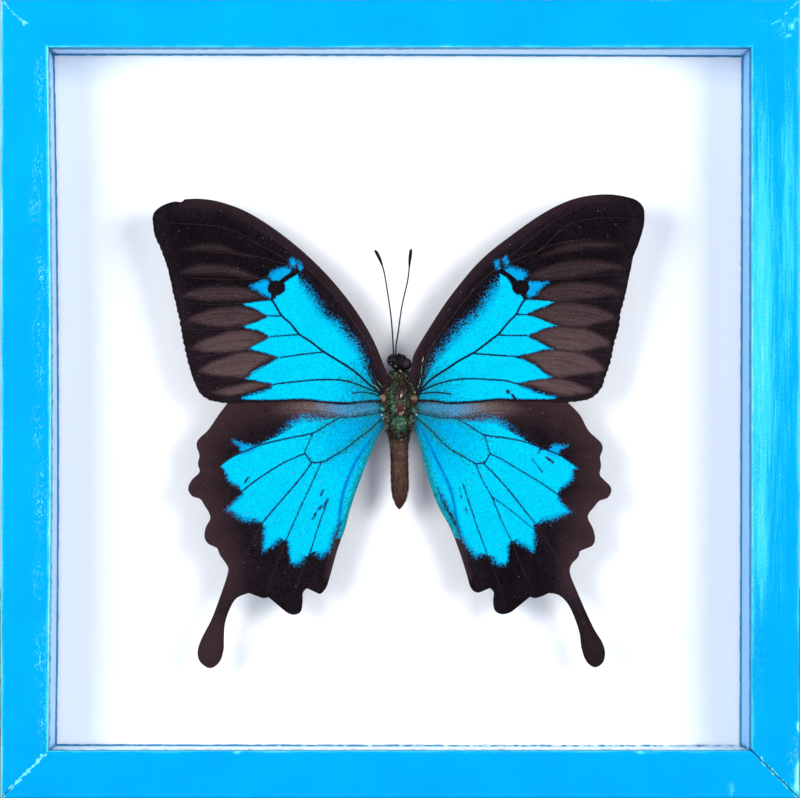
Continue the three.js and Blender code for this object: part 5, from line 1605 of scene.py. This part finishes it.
long_side = np.clip(np.abs(angle) - 0.7, 0, 1) * np.clip((roots[:, 2] + 9) / 4, 0.25, 1)
parts = [(hull, hull_faces, 0, hull_rows),
         hairs(roots, lean, 0.35 + 0.75 * long_side + 0.2 * chance.uniform(0, 1, len(roots)),
               0.042, tones)]

# x, height, half width, half length, lean and tone of the pale tufts on the back
TUFTS = (
    (0.38, 0.88, 0.17, 0.46, 0.3, 1.0), (-0.5, 0.88, 0.15, 0.4, 0.35, 0.99),
    (-0.62, -2.9, 0.15, 0.4, -0.2, 1.0), (0.75, -2.9, 0.14, 0.42, 0.4, 1.0),
    (0.1, -3.05, 0.15, 0.25, 0.0, 0.98), (0.6, -5.1, 0.17, 0.26, 0.1, 0.92),
    (-0.2, -5.35, 0.2, 0.13, 0.3, 0.92), (0.86, -4.1, 0.2, 0.2, 0.2, 0.88),
    (-1.0, -4.4, 0.2, 0.16, 0.1, 0.87), (-0.45, -4.0, 0.26, 0.1, 0.2, 0.9),
    (1.4, -5.0, 0.14, 0.2, 0.2, 0.9), (-0.1, -6.1, 0.16, 0.2, 0.0, 0.88),
    (0.5, -8.6, 0.14, 0.24, 0.15, 1.0), (-0.2, -7.7, 0.12, 0.16, 0.1, 0.9),
    (-0.5, -6.9, 0.12, 0.14, 0.1, 0.9), (0.0, -7.0, 0.1, 0.14, 0.3, 0.88),
    (0.3, 3.3, 0.18, 0.2, 0.0, 0.6), (0.0, 2.3, 0.3, 0.34, 0.0, 0.45),
    (-1.35, -1.6, 0.12, 0.5, -0.35, 0.87), (-1.65, -0.5, 0.2, 0.3, 0.0, 0.87),
    (2.0, -1.4, 0.14, 0.3, 0.0, 0.85),
)
# the same beside the wing roots, where scales and torn membrane stand up
SIDE_TUFTS = (
    (-3.9, 0.7, 0.16, 0.3, 0.4, 0.97), (-3.55, -2.0, 0.28, 0.5, -0.9, 0.86),
    (-3.75, -3.3, 0.24, 0.13, 0.3, 0.99), (-3.2, -3.6, 0.14, 0.2, 0.5, 0.93),
    (-3.5, -4.1, 0.13, 0.2, 0.2, 0.9), (-2.75, -3.7, 0.13, 0.16, 0.3, 0.98),
    (3.35, 1.6, 0.22, 0.22, 0.3, 0.9), (3.0, 2.4, 0.17, 0.17, 0.3, 0.6),
    (3.1, -2.3, 0.3, 0.42, 0.4, 0.87), (3.7, -3.2, 0.2, 0.13, 0.3, 0.99),
    (3.6, -2.6, 0.32, 0.08, -0.5, 0.95), (2.6, -3.6, 0.12, 0.22, 0.0, 0.96),
    (2.4, -5.0, 0.15, 0.15, 0.0, 0.95), (2.8, -4.6, 0.1, 0.25, 0.2, 0.9),
)
# narrow pale streaks along the forewing roots: both ends as x and height, and the tone
ROOT_STREAKS = (
    (-5.3, 3.3, -4.2, 1.9, 0.93), (-4.8, 4.2, -3.7, 2.7, 0.85), (4.6, 4.6, 4.3, 3.3, 0.9),
    (5.2, 9.2, 4.9, 8.0, 0.99), (4.9, 7.4, 4.7, 5.6, 0.87), (4.2, 3.2, 3.9, 2.5, 0.9),
)


# x, height, half width and half length of the plates over the wing roots
ROOT_PLATES = ((-3.35, 0.15, 0.62, 1.15), (3.15, 0.2, 0.85, 0.85))
TUFT_THICKNESS = 0.1
ROOT_TUFT_DEPTH = 12.1
ROOT_DEPTH = 12.2


def tuft(x, height, wide, long, lean, tone, depth):
    """A flat pointed tuft of scales lying on the body."""
    points, faces = lathe(ball_line((x, depth, height), (wide, TUFT_THICKNESS, long), 8), 10)
    return swung(points, lean, (x, height)), faces, 1, ((0, 0, 0, tone),)


def back_depth(x, height):
    """Depth of the thorax's back at that place: an ellipse across the barrel."""
    rows = np.transpose(THORAX)
    half, deep = (np.interp(height, rows[0], rows[k]) for k in (3, 4))
    return 14 - deep * np.sqrt(max(0.05, 1 - (x / half) ** 2))


for x, height, *rest in TUFTS:
    in_hollow = abs(x) < 1.2 and -3.3 < height < 1.3
    parts.append(tuft(x, height, *rest, back_depth(x, height) + (0.12 if in_hollow else -0.02)))
parts.extend(tuft(*row, ROOT_TUFT_DEPTH) for row in SIDE_TUFTS)
for x0, z0, x1, z1, tone in ROOT_STREAKS:
    shares = np.linspace(0, 1, 7)[:, None]
    line = (np.array((x0, ROOT_DEPTH, z0)) * (1 - shares)
            + np.array((x1, ROOT_DEPTH, z1)) * shares)
    parts.append((*tube(line, 0.085 * np.sin(np.linspace(0.3, 2.84, 7)), 6, (0, 1, 0), 0.6), 1,
                  ((0, 0, 0, tone),)))
for x, height, wide, long in ROOT_PLATES:
    plate = ball_line((x, ROOT_DEPTH, height), (wide, 0.7, long), 20)
    parts.append((*lathe(plate, 24), 2, PLAIN))
for side in (-1, 1):
    for joints in LEG_JOINTS:
        path = even(smooth(np.array(joints) * (side, 1, 1)), LEG_STEPS)
        along = np.linspace(0, 1, LEG_STEPS)
        radii = np.interp(along, (0, 0.33, 0.67, 1), LEG_RADII)
        radii *= 1 - 0.18 * np.exp(-((along - 0.34) / 0.02) ** 2) - 0.18 * np.exp(
            -((along - 0.68) / 0.02) ** 2)
        parts.append((*tube(path, radii, 10, (1, 0, 0)), 3, PLAIN))
# long brown hairs spread from the body over the wing roots
side = chance.choice((-1, 1), ROOT_HAIRS)
height = chance.uniform(-6.5, 3.5, ROOT_HAIRS)
roots = np.stack([side * chance.uniform(1.9, 2.6, ROOT_HAIRS),
                  chance.uniform(12.0, 12.6, ROOT_HAIRS), height], 1)
lean = np.stack([side * 1.0, chance.normal(-0.12, 0.12, ROOT_HAIRS),
                 -0.5 + chance.normal(0, 0.45, ROOT_HAIRS)], 1)
tones = chance.choice((0.06, 0.2, 0.42, 0.6, 0.85, 0.97), ROOT_HAIRS,
                      p=(0.3, 0.28, 0.2, 0.08, 0.08, 0.06))
parts.append(hairs(roots, lean, chance.uniform(0.6, 1.5, ROOT_HAIRS), 0.035, tones))
body_piece("furred_thorax", parts, [thorax_chitin, body_hair, root_plate, leg_chitin], "thorax")

# ---- abdomen -----------------------------------------------------------------------------------
# Nine soft rings that narrow to the tip, brown, with short hair lying back along it.

ABDOMEN_LENGTH = 16.3
ABDOMEN_SHARES = (0, 0.09, 0.33, 0.5, 0.69, 0.8, 0.87, 0.93, 0.97, 0.99, 1)
ABDOMEN_HALF_WIDTHS = (1.8, 1.96, 1.84, 1.86, 1.88, 1.6, 1.2, 0.74, 0.36, 0.15, 0.03)
ABDOMEN_MIDDLES = (0, -0.05, 0.03, 0.1, 0.16, 0.16, 0.12, 0.06, 0.02, 0, 0)
ABDOMEN_TOP = -7.4
RINGS = 9
ABDOMEN_HAIRS = 4200
ABDOMEN_GRIT = 0.4

share = np.linspace(0, 1, 150)
swell = 1 - 0.05 * np.abs(np.cos(np.pi * share * RINGS)) ** 6
half = np.interp(share, ABDOMEN_SHARES, ABDOMEN_HALF_WIDTHS) * swell
middle = np.interp(share, ABDOMEN_SHARES, ABDOMEN_MIDDLES)
abdomen_line = np.stack([
    ABDOMEN_TOP - ABDOMEN_LENGTH * share, middle, 14.1 - 0.4 * share, half, half], 1)[::-1]
hull, hull_faces = lathe(abdomen_line, 64)
near_top = np.clip((hull[:, 2] + 11.0) / 3, 0, 1)
hull_rows = np.stack([0.35 * near_top, 0.12 + 0 * near_top, 0 * near_top, 0 * near_top], 1)

# Brown chitin, with painted shade: darker where it turns away from the eye.
abdomen_chitin, tree, shader = new_material("brown abdomen chitin", Roughness=0.6,
                                            Specular_IOR_Level=0.25)
place = node(tree, "TexCoord").outputs["Object"]
grit = node(tree, "TexNoise", {
    "Vector": place, "Scale": 1 / (ABDOMEN_GRIT * MM), "Detail": 5.0, "Roughness": 0.7})
tone = node(tree, "ValToRGB", {"Fac": grit}, stops=((0.38, "#21110D"), (0.62, "#573529")))
graze = node(tree, "LayerWeight", {"Blend": 0.45})
painted_edge_shade = node(tree, "MapRange", {
    "Value": graze.outputs["Facing"], "From Min": 0.35, "From Max": 0.85, "To Max": 0.85})
edge_shaded = node(tree, "Mix", {0: painted_edge_shade, 6: tone, 7: linear("#120A0E")}, data_type="RGBA")
bump = node(tree, "Bump", {"Height": grit, "Strength": 0.6, "Distance": 0.08 * MM})
feed(tree, shader, {"Base Color": edge_shaded, "Normal": bump})

chance = np.random.default_rng(12)
angle = chance.uniform(-np.pi, np.pi, ABDOMEN_HAIRS)
share = chance.uniform(0.02, 0.99, ABDOMEN_HAIRS)
roots, out = on_lathe(abdomen_line, share, angle)
lean = out * 0.55 + chance.normal(0, 0.25, out.shape) - np.array((0, 0, 1.0))
draw = chance.uniform(0, 1, ABDOMEN_HAIRS)
# painted shade: hairs on the sides and the back, turned from the eye, are darker
tones = np.where(np.abs(angle) > 0.9, 0.08 + 0.25 * draw, 0.25 + 0.24 * draw)
fleck = chance.uniform(0, 1, ABDOMEN_HAIRS)
tones = np.where((roots[:, 2] > -11) & (fleck < 0.12), 0.86, tones)
tones = np.where(fleck > 0.975, 0.72, tones)
parts = [(hull, hull_faces, 0, hull_rows),
         hairs(roots, lean, (0.25 + 0.2 * draw) * np.clip(share * 8 + 0.2, 0, 1), 0.036, tones)]
for x, height in ((0.05, -11.5), (0.05, -13.8), (0.1, -15.5)):
    parts.append(tuft(x, height, 0.1, 0.13, 0.0, 0.97, 12.1 + 0.02 * abs(height + 11)))
body_piece("ringed_abdomen", parts, [abdomen_chitin, body_hair], "abdomen")

# ---- head --------------------------------------------------------------------------------------
# A small black ball turned to the right, with two large faceted eyes, two furred palps in front
# and a collar of cream dashes behind.

HEAD_MIDDLE = (0.0, 13.6, 8.0)
HEAD_HALF = (1.9, 1.7, 1.75)
HEAD_TURN = 0.3
EYE_HALF = (1.32, 1.5, 1.4)
FACET = 0.09
HEAD_HAIRS, PALP_HAIRS, COLLAR_HAIRS = 1500, 350, 1300

# Compound eyes: dark glossy domes of fine facets; the right one is greyer over its front middle, a
# painted sheen.
eye_facets, tree, shader = new_material("compound eye", Roughness=0.36, Specular_IOR_Level=0.12)
place = node(tree, "TexCoord").outputs["Object"]
facets = node(tree, "TexVoronoi", {"Vector": place, "Scale": 1 / (FACET * MM), "Randomness": 0.1})
bump = node(tree, "Bump", {"Height": facets, "Strength": 0.35, "Distance": 0.02 * MM}, invert=True)
eye_sheen_field = node(tree, "SeparateXYZ", {
    0: node(tree, "Attribute", attribute_name="tinge").outputs["Vector"]})
tone = node(tree, "Mix", {
    0: eye_sheen_field.outputs[2], 6: linear("#060508"), 7: linear("#2F2736")}, data_type="RGBA")
feed(tree, shader, {"Base Color": tone, "Normal": bump})

head_chitin = chitin("black head chitin", "#030203", "#0F0C0E", 0.55, 0.3, 0.08)
chance = np.random.default_rng(13)
head_line = ball_line(HEAD_MIDDLE, HEAD_HALF, 40)
parts = [(*lathe(head_line, 48), 0, ((0, 0.05, 0, 0),))]
roots, out = on_lathe(head_line, chance.uniform(0.05, 0.97, HEAD_HAIRS),
                      chance.uniform(-np.pi, np.pi, HEAD_HAIRS))
tones = np.where(chance.uniform(0, 1, HEAD_HAIRS) < 0.03, 0.55,
                 0.05 * chance.uniform(0, 1, HEAD_HAIRS))
parts.append(hairs(roots, out + chance.normal(0, 0.4, out.shape) + (0, 0, 0.3),
                   chance.uniform(0.2, 0.5, HEAD_HAIRS), 0.03, tones))
for side, eye_sheen_share in ((-1, 0.0), (1, 1.0)):
    middle = (side * 1.42, HEAD_MIDDLE[1] - 0.1, HEAD_MIDDLE[2] + 0.1)
    points, faces = lathe(ball_line(middle, EYE_HALF, 36), 48)
    away = np.hypot(points[:, 0] - middle[0] + 0.15 * side, points[:, 2] - middle[2] - 0.15)
    # painted sheen on the front of the right eye
    painted_eye_sheen = np.clip(1 - away / 1.05, 0, 1) ** 0.8 * (points[:, 1] < middle[1]) * eye_sheen_share
    parts.append((points, faces, 2, np.stack([painted_eye_sheen * 0, painted_eye_sheen * 0, painted_eye_sheen, painted_eye_sheen * 0], 1)))
for x, height in ((-0.35, 1.3), (0.5, 1.25)):
    half = 0.5 * np.sin(np.linspace(0.5, 2.9, 20))
    line = np.stack([np.linspace(0, 1, 20) * 1.5 - 0.4 + HEAD_MIDDLE[2] + height - 0.5,
                     np.full(20, x), np.full(20, HEAD_MIDDLE[1] + 0.1), half, half], 1)
    parts.append((*lathe(line, 20), 0, ((0, 0, 0.12, 0),)))
    roots, out = on_lathe(line, chance.uniform(0, 1, PALP_HAIRS),
                          chance.uniform(-np.pi, np.pi, PALP_HAIRS))
    tones = chance.choice((0.0, 0.05, 0.25), PALP_HAIRS)
    parts.append(hairs(roots, out + chance.normal(0, 0.3, out.shape) + (0, 0, 0.7),
                       chance.uniform(0.2, 0.42, PALP_HAIRS), 0.028, tones))
parts = [(swung(points, HEAD_TURN, (HEAD_MIDDLE[0], HEAD_MIDDLE[2])), *rest)
         for points, *rest in parts]
# the collar's dashes: x, height, half width, half length, lean and tone
COLLAR = (
    (-1.75, 7.85, 0.14, 0.16, 0.2, 1.0), (-0.75, 7.2, 0.16, 0.12, 0.5, 1.0),
    (0.25, 6.15, 0.1, 0.34, -0.8, 0.99), (-1.0, 5.7, 0.3, 0.07, 0.1, 0.9),
    (-0.45, 5.55, 0.22, 0.07, -0.2, 0.9), (-1.9, 5.2, 0.08, 0.3, -0.7, 0.88),
    (-1.4, 4.75, 0.3, 0.07, -0.3, 0.88), (0.1, 5.1, 0.12, 0.22, 0.2, 0.95),
    (0.7, 4.7, 0.26, 0.08, -0.4, 0.93), (1.5, 5.1, 0.22, 0.1, -0.6, 0.93),
    (-0.9, 5.15, 0.12, 0.14, 0.3, 0.88), (-0.3, 4.6, 0.2, 0.07, 0.3, 0.86),
    (1.1, 5.6, 0.14, 0.1, 0.2, 0.86), (-0.7, 4.2, 0.2, 0.08, -0.2, 0.8),
    (0.35, 4.3, 0.12, 0.18, 0.0, 0.8), (1.0, 4.2, 0.1, 0.2, 0.3, 0.78),
)
for x, height, *rest in COLLAR:
    parts.append(tuft(x, height, *rest, 11.75 + 0.12 * x * x + (0.25 if height > 7 else 0.0)))
roots = np.stack([chance.uniform(-2.1, 2.1, COLLAR_HAIRS),
                  chance.uniform(12.0, 13.2, COLLAR_HAIRS),
                  chance.uniform(4.2, 6.4, COLLAR_HAIRS)], 1)
roots[:, 1] += 0.2 * roots[:, 0] ** 2
tones = np.where(chance.uniform(0, 1, COLLAR_HAIRS) < 0.1, 0.88,
                 0.15 * chance.uniform(0, 1, COLLAR_HAIRS))
lean = np.stack([roots[:, 0] * 0.3, -0.7 + 0 * tones, 0 * tones], 1) + chance.normal(
    0, 0.35, (COLLAR_HAIRS, 3))
parts.append(hairs(roots, lean, chance.uniform(0.3, 0.8, COLLAR_HAIRS), 0.032, tones))
body_piece("faceted_eyed_head", parts, [head_chitin, body_hair, eye_facets], "head")

# ---- antennae ----------------------------------------------------------------------------------
# Two thin black threads of about seventy short joints each, ending in slender bent clubs.

# x, depth and height from the head to the tip
ANTENNAE = (
    ("left", ((-1.25, 13.2, 9.7), (-1.35, 13.1, 12.4), (-1.75, 12.8, 17.7), (-2.5, 12.5, 23.0),
              (-3.35, 12.2, 27.8), (-4.4, 12.0, 30.7), (-5.3, 11.9, 32.2))),
    ("right", ((-0.75, 13.2, 9.7), (-0.65, 13.1, 12.0), (-0.3, 13.0, 14.0), (0.55, 12.7, 20.0),
               (1.85, 12.4, 25.9), (2.3, 12.2, 30.4), (2.55, 12.1, 32.5))),
)
THREAD_RADIUS = 0.16
CLUB_RADIUS = 0.38
JOINTS = 70
antenna_black = chitin("black antenna chitin", "#040306", "#110D13", 0.5, 0.15, 0.08)

for side, path in ANTENNAE:
    count = JOINTS * 6 + 1
    line = even(smooth(path), count)
    along = np.linspace(0, 1, count)
    club = np.clip((along - 0.8) / 0.13, 0, 1)
    radii = THREAD_RADIUS + (CLUB_RADIUS - THREAD_RADIUS) * club ** 2 * (3 - 2 * club)
    radii *= np.sqrt(np.clip((1.002 - along) / 0.03, 0, 1))
    radii *= 1 - 0.1 * np.abs(np.cos(np.pi * along * JOINTS)) ** 8
    points, faces = tube(line, radii, 14, (0, 1, 0))
    body_piece(f"jointed_antenna_{side}", [(points, faces, 0, PLAIN)], [antenna_black],
               f"antenna_{side}")
